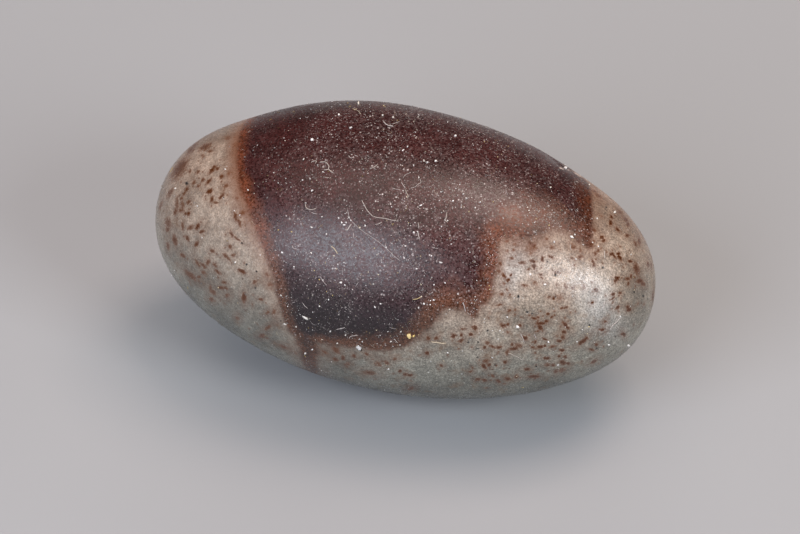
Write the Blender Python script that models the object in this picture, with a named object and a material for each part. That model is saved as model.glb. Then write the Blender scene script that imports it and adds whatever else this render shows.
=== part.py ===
"""A polished, egg-shaped river pebble of banded quartz, lying on its side on a small flat spot.

Metres, +Z up. The long axis runs along X, and the stone rests on the floor at Z = 0. The origin is on
the floor, under the middle of the stone. The front, where the dark patch faces, is towards -Y.
"""

import math

import bmesh
import bpy
from mathutils import Matrix

# Driving dimensions, in metres
LENGTH = 0.042
BELLY_DIAMETER = 0.0231
FOOT_DEPTH = 0.00027  # worn off the underside, which leaves the flat spot that the stone rests on

# How far the outline departs from a plain ellipse, as shares of the radius there
END_FULLNESS = 0.115  # both ends are blunter
TAPER = 0.012  # the -X half is a little stouter than the +X half

# Gentle swellings (+) and hollows (-) that the river left: middle along X, degrees round from the top
# towards the front, height, spread along X, spread round
UNEVENNESS = {
    "swelling behind the crown": (-0.0045, -40, 0.00024, 0.0060, 0.0070),
    "hollow on the left shoulder": (-0.0150, -32, -0.00021, 0.0033, 0.0070),
    "hollow on the right shoulder": (0.0128, -46, -0.00016, 0.0030, 0.0060),
    "hollow under the right end": (0.0160, 144, -0.00010, 0.0030, 0.0060),
}

# Facets. A multiple of four round and an even number along put a corner on every widest point.
FACETS_ROUND = 80
FACETS_ALONG = 40
SHORTEST_EDGE = 0.00005  # corners nearer than this to the foot's plane are drawn onto it

# Colour of the pale body, with the sheen of a hand-polished surface
BODY_COLOUR = (0.34, 0.29, 0.24, 1.0)
BODY_ROUGHNESS = 0.38

AXIS_HEIGHT = BELLY_DIAMETER / 2 - FOOT_DEPTH


def plain_radius(share):
    """Radius of the even form, share of the half length away from the middle (-1 to 1)."""
    ellipse = math.sqrt(max(1 - share * share, 0))
    return BELLY_DIAMETER / 2 * ellipse * (1 - TAPER * share + END_FULLNESS * share**6)


def unevenness(along, turn, radius):
    """Sum of the swellings and hollows at a place along X and an angle round from the top."""
    total = 0
    for middle, degrees, height, spread_along, spread_round in UNEVENNESS.values():
        away = math.remainder(turn - math.radians(degrees), math.tau) * radius
        total += height * math.exp(-(((along - middle) / spread_along) ** 2) - (away / spread_round) ** 2)
    return total


def on_stone(corner):
    """Moves a corner of a unit sphere, whose poles are at X = -1 and 1, onto the stone's surface."""
    along = corner.x * LENGTH / 2
    turn = math.atan2(-corner.y, corner.z)
    radius = plain_radius(corner.x)
    if radius > 0:
        radius += unevenness(along, turn, radius)
    return (along, -radius * math.sin(turn), AXIS_HEIGHT + radius * math.cos(turn))


def cut_foot(bm):
    """Cuts the underside off at the floor and closes the cut with one flat face."""
    geometry = bm.verts[:] + bm.edges[:] + bm.faces[:]
    cut = bmesh.ops.bisect_plane(
        bm,
        geom=geometry,
        dist=SHORTEST_EDGE,
        plane_co=(0, 0, 0),
        plane_no=(0, 0, 1),
        use_snap_center=True,
        clear_inner=True,
    )
    rim = [item for item in cut["geom_cut"] if isinstance(item, bmesh.types.BMEdge)]
    foot = bmesh.ops.edgeloop_fill(bm, edges=rim)["faces"]
    bmesh.ops.recalc_face_normals(bm, faces=bm.faces[:])
    return foot


def stone_mesh():
    bm = bmesh.new()
    bmesh.ops.create_uvsphere(
        bm,
        u_segments=FACETS_ROUND,
        v_segments=FACETS_ALONG,
        radius=1,
        matrix=Matrix.Rotation(math.pi / 2, 4, "Y"),
    )
    for corner in bm.verts:
        corner.co = on_stone(corner.co)
    foot = cut_foot(bm)
    for face in bm.faces:
        face.smooth = face not in foot
    mesh = bpy.data.meshes.new("stone")
    bm.to_mesh(mesh)
    bm.free()
    return mesh


def polished_quartz():
    material = bpy.data.materials.new("polished_quartz")
    material.use_nodes = True
    shader = material.node_tree.nodes["Principled BSDF"]
    shader.inputs["Base Color"].default_value = BODY_COLOUR
    shader.inputs["Roughness"].default_value = BODY_ROUGHNESS
    shader.inputs["Metallic"].default_value = 0
    return material


def main():
    for thing in list(bpy.data.objects):
        bpy.data.objects.remove(thing, do_unlink=True)
    parts = bpy.data.collections.new("shiva_lingam_stone")
    bpy.context.scene.collection.children.link(parts)
    stone = bpy.data.objects.new("stone", stone_mesh())
    stone.data.materials.append(polished_quartz())
    parts.objects.link(stone)


main()
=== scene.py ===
"""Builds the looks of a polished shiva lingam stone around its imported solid.

Metres, +Z up. The long axis runs along X, the stone rests at Z = 0, and the dark patch faces -Y. A place
on the stone is given as millimetres along X from the middle, and degrees round the long axis from the top,
positive towards the front. A place in the photograph is given in its pixels, across and down.
"""

import math

import bmesh
import bpy
import numpy as np
from bpy.props import FloatProperty, FloatVectorProperty, IntProperty, PointerProperty
from mathutils import Matrix, Vector, noise
from mathutils.bvhtree import BVHTree


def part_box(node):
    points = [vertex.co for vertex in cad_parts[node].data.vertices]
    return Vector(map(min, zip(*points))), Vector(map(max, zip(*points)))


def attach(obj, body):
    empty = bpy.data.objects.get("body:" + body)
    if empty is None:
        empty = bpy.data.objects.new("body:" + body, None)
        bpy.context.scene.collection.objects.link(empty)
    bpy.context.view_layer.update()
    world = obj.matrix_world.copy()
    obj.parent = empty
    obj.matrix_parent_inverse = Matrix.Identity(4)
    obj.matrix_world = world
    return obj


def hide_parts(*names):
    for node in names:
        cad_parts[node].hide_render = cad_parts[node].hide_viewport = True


bl_info = {
    "name": "Shiva Lingam Stone",
    "version": (1, 0, 0),
    "blender": (4, 5, 0),
    "location": "View3D > Sidebar > Lingam",
    "description": "A polished quartz pebble with a rust-edged dark patch, freckles, dust and lint",
    "category": "Add Mesh",
}

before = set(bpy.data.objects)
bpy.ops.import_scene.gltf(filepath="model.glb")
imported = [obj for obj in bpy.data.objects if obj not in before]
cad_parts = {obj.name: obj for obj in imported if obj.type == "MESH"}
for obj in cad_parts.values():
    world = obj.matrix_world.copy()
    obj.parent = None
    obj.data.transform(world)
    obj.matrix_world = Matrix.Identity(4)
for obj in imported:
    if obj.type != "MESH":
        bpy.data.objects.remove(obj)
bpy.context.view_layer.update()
LOW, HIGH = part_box("stone")
MM = 0.001

# The photograph's view: degrees to the right of the front, degrees up, tilt, distance and aim in metres
CAMERA_AZIMUTH = 19.25
CAMERA_ELEVATION = 41.04
CAMERA_ROLL = -1.37
CAMERA_DISTANCE = 0.4778
CAMERA_AIM = (0.000325, -0.001970, 0.01130)
FOCAL_LENGTH = 265.4
SENSOR_WIDTH = 36
PICTURE_WIDTH = 800
PICTURE_HEIGHT = 534
STONE_IN_PICTURE = (405, 250)  # a pixel near the middle of the stone

# Form of the stone, in millimetres, as its solid has it
HALF_LENGTH = (HIGH.x - LOW.x) / 2 / MM
BELLY_RADIUS = -LOW.y / MM
FOOT_DEPTH = 0.27
AXIS_HEIGHT = BELLY_RADIUS - FOOT_DEPTH
END_FULLNESS = 0.115
TAPER = 0.012

# Gentle swellings (+) and hollows (-): along, degrees round, height, spread along, spread round
UNEVENNESS = (
    (-4.5, -40, 0.24, 6.0, 7.0),
    (-15.0, -32, -0.21, 3.3, 7.0),
    (12.8, -46, -0.16, 3.0, 6.0),
    (16.0, 144, -0.10, 3.0, 6.0),
)

# A small chip on the right shoulder, beside a pale worn lip: along, degrees round, depth, radius
CHIPS = (
    (11.6, -36, 0.16, 0.75),
    (10.7, -40, 0.10, 0.60),
)

# Edge of the dark patch, once round: along, degrees round, width of its rust rim, how far the edge frays.
# The first rows are the straight left side, from the back over the top and down the front.
PATCH_EDGE = (
    (-15.2, -95, 1.2, 0.25),
    (-15.7, -72, 1.2, 0.20),
    (-15.3, -50, 1.2, 0.15),
    (-14.6, -28, 0.9, 0.12),
    (-13.9, -1, 0.85, 0.12),
    (-13.1, 18, 0.85, 0.12),
    (-12.1, 32, 0.95, 0.14),
    (-10.5, 45, 1.15, 0.16),
    (-9.0, 57, 1.15, 0.18),
    (-7.75, 69, 1.15, 0.18),
    (-6.8, 84, 1.1, 0.18),
    (-6.0, 95, 1.0, 0.18),
    # The lower side, along the front to the right
    (-4.4, 98, 0.9, 0.20),
    (-2.6, 96, 1.1, 0.25),
    (0.1, 93.5, 1.4, 0.28),
    (1.8, 93.3, 1.5, 0.30),
    (3.5, 90.4, 1.4, 0.30),
    (5.1, 82.6, 1.4, 0.30),
    (6.3, 73.7, 1.6, 0.28),
    (7.2, 68.4, 2.0, 0.25),
    (8.2, 68.2, 2.0, 0.27),
    (9.3, 71, 1.9, 0.28),
    (9.7, 65, 1.6, 0.28),
    (10.4, 59, 1.4, 0.25),
    (10.2, 51, 1.15, 0.24),
    (10.4, 43, 1.15, 0.24),
    (10.1, 35.5, 1.6, 0.32),
    # The frayed underside of the right arm
    (11.0, 31.8, 3.0, 0.55),
    (12.1, 31.0, 3.3, 0.65),
    (13.2, 24.5, 3.4, 0.65),
    (14.4, 19.0, 3.1, 0.55),
    (15.5, 20.0, 2.7, 0.40),
    (16.5, 21.0, 2.4, 0.25),
    # The right end, up to the horizon and the chip
    (16.5, 13, 2.0, 0.15),
    (16.2, 3, 1.5, 0.12),
    (15.7, -8, 1.4, 0.12),
    (15.0, -22, 1.3, 0.15),
    (14.0, -37, 1.1, 0.15),
    (12.6, -42.5, 0.6, 0.12),
    (11.6, -49, 0.9, 0.20),
    # The lower side on the back
    (12.0, -62, 1.2, 0.30),
    (11.0, -74, 1.4, 0.30),
    (8.8, -80, 1.6, 0.35),
    (7.4, -92, 1.4, 0.35),
    (5.2, -97, 1.2, 0.30),
    (2.0, -93, 1.1, 0.30),
    (-1.2, -99, 1.2, 0.35),
    (-4.6, -107, 1.4, 0.35),
    (-8.0, -101, 1.2, 0.30),
    (-10.6, -94, 1.1, 0.30),
    (-12.6, -100, 1.0, 0.25),
    (-14.2, -106, 1.0, 0.25),
)
EDGE_STEPS = 5  # points on the curve for each row above

# The narrow band that leaves the patch's lower left corner and runs round underneath to the back:
# degrees round (the back is 180 to 270), where its left side lies along, width
BAND = (
    (88, -6.1, 2.6),
    (96, -5.6, 2.2),
    (105, -5.4, 1.7),
    (123, -5.4, 1.15),
    (150, -6.8, 0.9),
    (180, -9.4, 0.7),
    (210, -12.3, 0.7),
    (240, -14.4, 0.9),
    (262, -15.4, 1.3),
)
BAND_RIM = 0.9  # width of its rust rim
BAND_FRAY = 0.2
BAND_SLANT = 0.87  # a millimetre along is this far across the slanting band
FAR_OUTSIDE = -9  # millimetres inside the band, for places that it doesn't reach
BATCH = 4000  # points that are measured at a time, to save memory

# Paler (+) and darker (-) clouds in the body: along, degrees round, amount, spread along, spread round
CLOUDS = (
    (-16.1, 15, 0.50, 1.4, 1.6),
    (-15.8, 56, 0.50, 1.5, 2.6),
    (-9.3, 66, 0.22, 0.9, 2.0),
    (-15.1, 96, -0.20, 1.3, 1.2),
    (-13.2, 105, -0.30, 1.6, 1.3),
    (-9.3, 113, -0.30, 2.0, 1.2),
    (18.1, 57, 0.45, 1.5, 2.3),
    (19.6, 82, 0.30, 1.1, 1.8),
    (14.5, 71, -0.20, 2.0, 1.4),
    (13.6, 37, 0.15, 2.2, 1.7),
    (20.3, 20, -0.15, 0.7, 1.4),
    (11.3, 45, 0.42, 1.1, 2.6),
    (19.9, 42, -0.28, 0.9, 3.2),
)

# Freckles read from the photograph, in pixels: across, down, half length, half width, slant in degrees
# (positive runs down to the right), strength
FRECKLES = (
    (179, 168, 10, 4.5, -56, 0.75), (192, 148, 8, 2.5, -52, 0.6), (205, 147, 5.5, 2.5, -30, 0.65),
    (210, 151, 2.5, 1.5, -20, 0.4), (203, 156, 2, 2, 0, 0.35), (228, 138, 2.5, 1.5, -15, 0.35),
    (236, 145, 3, 3, 0, 0.4), (170, 193, 5, 1.8, -55, 0.55), (190, 171, 1.8, 1.3, -60, 0.5),
    (198, 172, 2, 1.3, -45, 0.55), (212, 170, 4, 1.4, -48, 0.9), (217.5, 168.5, 1.8, 1.4, -60, 0.6),
    (229, 173, 2, 1.5, -40, 0.45), (221.5, 176.5, 2.2, 1.6, -50, 0.7), (203, 180, 2, 1.3, -55, 0.6),
    (208.5, 181.5, 3.2, 1.3, -50, 0.85), (194, 182.5, 2, 1.2, -60, 0.5), (198, 186, 1.6, 1.3, 0, 0.5),
    (226, 186, 2.2, 1.5, -25, 0.65), (186.5, 189.5, 2.2, 1.5, -60, 0.6),
    (184, 193.5, 2.5, 1.5, -50, 0.4), (181.5, 198, 1.8, 1.3, -60, 0.5), (188.5, 202, 2.2, 1.4, -50, 0.5),
    (209.5, 191.2, 2.4, 1.3, -35, 1), (221.5, 196.2, 2.8, 1.2, -45, 0.8),
    (212, 199.5, 2.5, 1.3, -75, 0.7), (216, 202.5, 2, 1.2, 0, 0.5), (237, 198, 1.5, 1.2, 60, 0.55),
    (241.5, 194, 2, 1.5, 0, 0.8), (177, 204, 8, 1.6, 90, 0.35), (182.5, 206, 6, 1.8, 85, 0.35),
    (175.5, 211.5, 3, 1.5, -80, 0.6), (181, 210.5, 2.5, 2, 0, 0.45), (186, 213.5, 1.5, 1.2, 0, 0.55),
    (188.5, 213.5, 2.3, 1.4, -75, 0.75), (161, 205, 5, 1.3, -75, 0.35), (168, 223, 5, 2.8, 80, 0.5),
    (167.5, 229, 2.4, 1.6, -80, 0.6), (182.5, 226.5, 3, 1.2, 85, 0.55),
    (190.5, 227.5, 2.8, 1.8, -40, 0.65), (197.5, 226.5, 2.8, 1.6, -50, 0.8),
    (202, 231.8, 1.9, 1.3, -30, 0.75), (231.8, 234.2, 2.7, 1.3, 60, 0.8),
    (237.3, 238.8, 4, 0.9, 35, 0.55), (187.5, 238.3, 2.6, 1.3, 70, 0.75),
    (174.8, 240, 4.3, 1.6, 75, 0.85), (196.7, 244, 2.3, 1.3, -60, 0.75), (168, 246, 3.2, 1.3, 85, 0.55),
    (212.5, 251, 2.2, 1.4, 20, 0.65), (230.2, 247, 1.9, 1.2, 50, 0.6), (233, 255.3, 1.9, 1.3, -20, 0.55),
    (182.5, 255.3, 2.4, 1.3, 40, 0.65), (225.3, 255.5, 2.2, 1.5, 50, 0.65),
    (228.5, 258.5, 2.8, 1.3, 45, 0.45), (208, 262.3, 2.4, 1.5, -60, 0.6), (197.5, 263, 4, 1.2, 55, 0.4),
    (203.3, 265.5, 3, 1.2, 45, 0.55), (214.7, 265, 2.4, 1.1, 45, 0.5), (218, 272, 3, 1.2, 40, 0.7),
    (203.5, 272.5, 2.2, 1.4, 50, 0.45), (191, 275.5, 6.2, 1.8, 38, 0.6), (199, 277, 1.5, 1.2, 0, 0.6),
    (242, 271.3, 3.2, 1.3, 25, 0.95), (224, 282.5, 2.2, 1.1, 20, 0.5), (221, 287.7, 2.3, 1.1, 10, 0.6),
    (225.3, 288, 2.2, 1, 35, 0.6), (235.5, 216.8, 3.5, 1.6, 80, 0.75),
    (239.3, 222.5, 2.8, 1.3, 75, 0.75), (242, 213.3, 3, 2, -35, 0.7), (247, 211.5, 3, 1.6, -10, 0.6),
    (244, 297.5, 3.2, 1.6, 88, 1), (260.7, 299.3, 1.9, 1.1, 15, 0.6), (254.5, 282, 2, 1.5, -45, 0.45),
    (267, 275, 2.2, 1.2, 50, 0.45), (270.5, 284.5, 2.5, 1.5, 20, 0.5),
    (267.5, 312.5, 1.8, 1.3, -45, 0.45), (274, 312, 2.3, 1.5, 85, 0.45), (213, 292, 3.2, 1.7, 40, 0.5),
    (211.5, 299.5, 2.2, 1.7, 30, 0.45), (210.5, 288, 2.5, 1.5, 80, 0.35), (227, 295.5, 2, 2, 0, 0.3),
    (237.5, 318, 2, 1.5, 60, 0.4), (268, 327.5, 3, 1.5, -35, 0.45), (262, 336, 2.5, 1.7, 0, 0.5),
    (284, 347, 4.5, 1.3, 20, 0.4), (336, 350, 4, 1.8, 45, 0.6), (324.5, 352, 2.5, 1, 30, 0.5),
    (335.5, 359.5, 2.8, 1.5, 20, 0.55), (343, 358, 2, 1.3, 70, 0.65), (347, 364, 2.5, 1.5, 0, 0.35),
    (354, 356, 1.8, 1.2, 20, 0.65), (366.5, 354, 2, 1.1, 40, 0.55), (378, 364, 3.5, 2, 30, 0.4),
    (387, 363, 2.5, 1.3, 40, 0.5), (394.5, 359, 1.8, 1.3, 0, 0.55), (370, 372.7, 5, 1.7, 10, 0.5),
    (400, 371, 1.5, 1.2, 0, 0.65), (405, 374.5, 1.5, 1.3, 0, 0.7), (409.7, 375.2, 2, 1, 5, 0.75),
    (411, 388.5, 2.5, 1.3, -10, 0.5), (427.2, 353, 1.5, 1.4, 0, 0.95), (428.3, 338.3, 1.4, 1.5, 0, 0.85),
    (436.5, 338, 1.8, 1.2, -30, 0.65), (453.5, 336, 2, 2, 0, 0.75), (461.5, 335, 1.8, 1.3, 80, 0.75),
    (461, 340.7, 2.2, 1.6, -30, 0.65), (462.7, 329, 1.7, 1, 0, 0.6), (475, 327.8, 2.2, 1.7, 30, 0.75),
    (470.7, 334.2, 1.4, 1.2, 0, 0.9), (487, 343, 2, 1.6, 20, 0.5), (484.5, 347.5, 1.6, 1.2, 30, 0.75),
    (492, 346.5, 3, 1.2, 20, 0.6), (499, 347.5, 2.5, 1.3, 0, 0.7), (503, 325.5, 2.6, 1.6, 20, 0.8),
    (512, 344.3, 1.5, 1.2, -60, 0.6), (514, 348.5, 3.5, 1.4, -5, 0.8), (518, 346, 3.5, 2.3, 0, 0.4),
    (507.5, 352, 3, 1.7, -60, 0.45), (505, 362, 1.8, 1.2, -25, 0.8), (486, 361, 2.5, 2, 0, 0.5),
    (484, 366.3, 2.5, 1.4, 50, 0.9), (489, 365, 1.6, 1.1, -30, 0.75), (493, 376, 2, 1.2, 40, 0.45),
    (441.5, 365.5, 1.5, 1.1, 10, 0.65), (471, 371.5, 1.8, 1.2, -20, 0.5),
    (478, 379.3, 2.2, 1.1, -5, 0.6), (484.5, 380, 2.3, 1.1, 10, 0.6), (498, 381, 2.2, 1.3, 30, 0.5),
    (507.5, 379, 3, 1.2, 0, 0.65), (516.5, 376.5, 2, 1.6, -60, 0.55), (527, 369.2, 2.3, 1.1, -5, 0.8),
    (525, 337.8, 2.3, 1.6, 30, 0.85), (507, 241, 2, 1.2, -20, 0.55), (513.8, 250, 1.7, 1.2, 0, 0.6),
    (511.8, 258.2, 1.7, 1.2, 0, 0.5), (533.5, 245.5, 2.2, 1.6, 0, 0.75), (532, 248.5, 5, 5, 0, 0.35),
    (552, 247.5, 2.5, 1.8, 0, 0.4), (551, 257, 2.4, 1.2, 25, 0.7), (542.3, 258.8, 1.7, 1.4, 80, 0.95),
    (533, 261.2, 2.1, 1.1, 8, 1), (522, 262.7, 2.5, 1.3, -8, 0.75), (534, 266.7, 1.9, 1.5, 80, 0.9),
    (500.5, 264, 3, 1.4, -70, 0.6), (498.7, 271, 1.5, 1.2, 0, 0.9), (511, 275, 1.4, 1.1, -60, 0.8),
    (504, 275.8, 2.8, 1.3, 50, 0.75), (508.3, 280, 1.5, 1.4, 0, 0.95), (557.5, 272.3, 3.2, 1.1, 0, 0.6),
    (540.7, 274.5, 1.6, 1, 0, 0.8), (541.5, 277.8, 1.8, 1.2, 30, 0.55), (535, 283, 2.5, 1.8, 45, 0.4),
    (524.5, 285.5, 2.3, 1.1, 10, 0.55), (566, 287, 1.8, 1.4, 80, 0.45),
    (572.8, 287.8, 1.6, 1.1, -40, 0.7), (583.7, 286.5, 1.9, 1.1, 75, 0.5), (502, 294, 1.8, 1.1, 0, 0.55),
    (549, 297, 1.6, 1.3, 0, 0.5), (553.3, 298.3, 1.6, 1.3, -40, 0.75),
    (499.5, 304.7, 2.2, 0.9, -10, 0.5), (562, 308.3, 1.5, 1.1, 0, 0.6), (566, 307.4, 1.6, 1.2, -20, 0.6),
    (509.2, 310.5, 1.7, 1.2, 0, 0.6), (548, 314, 1.4, 1.1, 0, 0.75), (551.8, 317.3, 1.3, 1.2, 0, 0.65),
    (534, 318.3, 2.5, 0.9, 12, 0.7), (538, 317.3, 1.2, 1.2, 0, 0.65), (541, 323.3, 3.5, 1.1, 0, 0.9),
    (546.5, 321.3, 1.5, 1.1, -20, 0.9), (540.3, 327.5, 2.6, 1.3, 60, 0.95),
    (565.5, 325.2, 3.8, 1.3, 50, 0.85), (507.5, 324.7, 1.5, 1, -40, 0.65),
    (520, 325.5, 1.3, 1.1, 45, 0.7), (572.3, 258.3, 1.6, 1.3, 0, 0.6), (580.5, 256.5, 2, 1.5, -30, 0.75),
    (574, 247.3, 2.2, 2, 0, 0.65), (578.8, 241.3, 2, 1.2, 60, 0.9), (580.5, 250.5, 2, 1.2, 80, 0.45),
    (560, 297.5, 4, 4, 0, 0.25), (532.7, 347.3, 1.7, 1, 0, 0.6), (535.3, 342, 1.8, 1.1, -60, 0.65),
    (540.3, 346.8, 2.3, 1.2, 0, 0.95), (544.7, 345.7, 1.2, 1, 0, 0.9),
    (552.5, 346.5, 3.2, 1.2, -10, 0.5), (545, 339.3, 2, 0.9, 25, 0.6),
    (537.7, 331.3, 2.2, 0.9, -25, 0.6), (559.5, 340.8, 2, 1.1, 5, 0.8), (563, 337, 2, 1.8, -60, 0.6),
    (564, 332, 1.4, 1.2, 0, 1), (561.5, 350.3, 1.7, 1.2, 0, 0.9), (559, 356, 1.2, 0.9, 0, 0.8),
    (565, 357, 1.6, 1.3, 0, 0.6), (546.8, 358.2, 3, 1, 0, 0.85), (563, 362.5, 2.6, 1.8, 15, 0.75),
    (568, 363.5, 1.8, 1, 10, 0.75), (547.5, 365, 2.5, 1.2, 0, 0.55), (553.2, 365, 1.6, 1.2, 0, 0.65),
    (562, 370, 3.2, 1.6, -15, 0.4), (556, 371.5, 2, 1.5, -60, 0.5), (533.5, 376.7, 3.8, 1.2, 0, 0.85),
    (582.3, 341.7, 4.3, 1.2, -38, 0.9), (586.5, 338, 1.5, 1.2, 0, 0.7),
    (594, 361.5, 3.2, 1.3, -28, 0.55), (591.5, 349.7, 2, 0.9, 15, 0.75),
    (596.5, 344.5, 1.5, 1.2, 0, 0.6), (602.2, 329.7, 2.7, 1, -5, 0.75),
    (605.5, 321.5, 1.3, 1.1, 0, 0.65), (594, 191, 2.5, 1.2, 30, 0.5), (598, 195.5, 4, 1.5, 35, 0.4),
    (620, 212.5, 2.3, 1.3, 35, 0.4), (611.5, 217, 1.7, 1.1, 60, 0.75), (610.5, 222.7, 2.6, 1.2, 85, 0.8),
    (617.5, 229.5, 2.6, 1.3, 45, 0.75), (625.5, 219, 3.5, 1.4, 50, 0.5), (628, 224.3, 2.2, 1.3, 80, 0.6),
    (593.8, 230, 2, 1.2, 40, 0.75), (602.2, 237.3, 1.5, 1.4, 0, 1), (604, 240.5, 1.7, 1.2, -30, 0.8),
    (627.3, 235.5, 1.6, 1.4, 0, 0.6), (635.5, 243.5, 3, 1.2, 65, 0.5), (639.2, 241, 3, 1.2, 85, 0.55),
    (643, 235, 3.5, 1.2, 60, 0.4), (590.5, 244.5, 2.5, 1.7, 60, 0.9), (598, 250.5, 1.8, 1, -50, 0.6),
    (595.5, 253.5, 1.8, 1.3, 60, 0.65), (611.7, 254.2, 1.5, 1.3, 30, 1), (614.5, 256.5, 2.2, 1, 45, 0.8),
    (618.3, 253.7, 1.5, 1.2, 0, 0.9), (619.8, 257.8, 3, 1.2, 60, 0.85), (630, 261.5, 1.7, 1.2, 0, 0.9),
    (593.3, 262.3, 3, 1, 60, 0.75), (594, 265.5, 1.4, 1.1, 0, 0.75), (617.2, 278, 1.7, 1.4, 0, 1),
    (615.5, 281, 2, 1.5, -60, 0.7), (596, 290.2, 1.5, 1.4, 0, 1), (613, 294.3, 1.6, 1.1, -30, 0.85),
    (620, 293, 1.4, 1.3, 0, 0.7), (613, 298.3, 2.5, 0.8, -35, 0.6), (627.5, 279, 2, 1.5, 0, 0.6),
    (631, 276.5, 2, 1, -80, 0.65), (628.3, 283.5, 1.5, 1.1, 80, 0.65), (636.5, 269, 5, 2, 75, 0.65),
    (640, 281, 2.2, 1.6, 0, 0.85), (643, 283.7, 2.2, 1.5, 50, 0.65), (648, 264, 2.5, 1.2, 80, 0.5),
    (651.3, 265, 3, 1, 80, 0.5), (653, 296, 4.5, 1, -85, 0.7), (592.3, 302.8, 1.5, 1, -50, 0.85),
    (617.5, 307.5, 2, 1.1, -45, 0.75), (627.8, 307, 1.5, 1, 60, 0.75), (629, 309.7, 1.7, 1.3, -20, 0.95),
    (623.5, 334.5, 2, 1.5, 60, 0.8),
)

# Small dark pits, in the same way; the last row is a painted shadow in the chip's notch
PITS_AND_NOTCH_SHADOW = (
    (186.5, 183.5, 1.9, 1.3, -60, 1), (223.5, 198, 0.9, 0.8, 0, 0.7), (241.8, 243.2, 1.1, 0.9, 0, 0.8),
    (246.5, 264.5, 1.1, 1, 0, 1), (256.5, 271.5, 0.9, 0.9, 0, 1), (255.3, 288, 1, 1, 0, 0.85),
    (547.5, 261.5, 1, 0.8, 0, 0.7), (555.5, 275, 1.6, 0.9, 80, 1), (518.3, 296.8, 1.6, 1.1, 80, 1),
    (555.3, 297, 0.9, 0.9, 0, 0.6), (527.3, 312.2, 1.1, 1.1, 0, 0.9), (532.2, 313.7, 0.9, 0.9, 0, 0.9),
    (589.5, 325.2, 1, 1.2, 0, 0.95), (468, 342.3, 1.1, 0.9, 0, 0.7), (478, 342.3, 1.1, 1.1, 0, 0.9),
    (478, 348.7, 1.7, 0.7, 0, 0.65), (487.4, 330.7, 1.1, 1, 0, 1), (477.5, 357.5, 1.1, 1, 0, 0.65),
    (495.2, 365, 1.2, 1, 0, 0.7), (536.2, 366.5, 1.1, 1, 0, 0.9), (596.5, 348.3, 1, 0.9, 0, 0.6),
    (606.2, 207.5, 1.1, 0.9, 0, 0.7), (603, 267.8, 1.3, 1.1, 0, 1), (634.3, 292.2, 1.2, 0.9, 80, 0.9),
    (643.2, 296, 1.4, 1, 80, 1), (647.5, 299, 0.9, 0.8, 0, 0.6), (615.5, 336.5, 1, 0.9, 0, 0.65),
    (280.5, 321, 1, 0.8, 0, 0.6), (560.5, 166, 5.5, 1.1, 20, 1),
)

# Pale marks: the worn lip beside the chip, and the glint in the chip as a painted highlight
SCUFFS_AND_GLINTS = (
    (577.5, 174.5, 9, 2.4, 34, 1), (561.5, 168.4, 5, 1.5, 18, 1), (568.5, 170, 2.5, 1, 15, 1),
)
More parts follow.
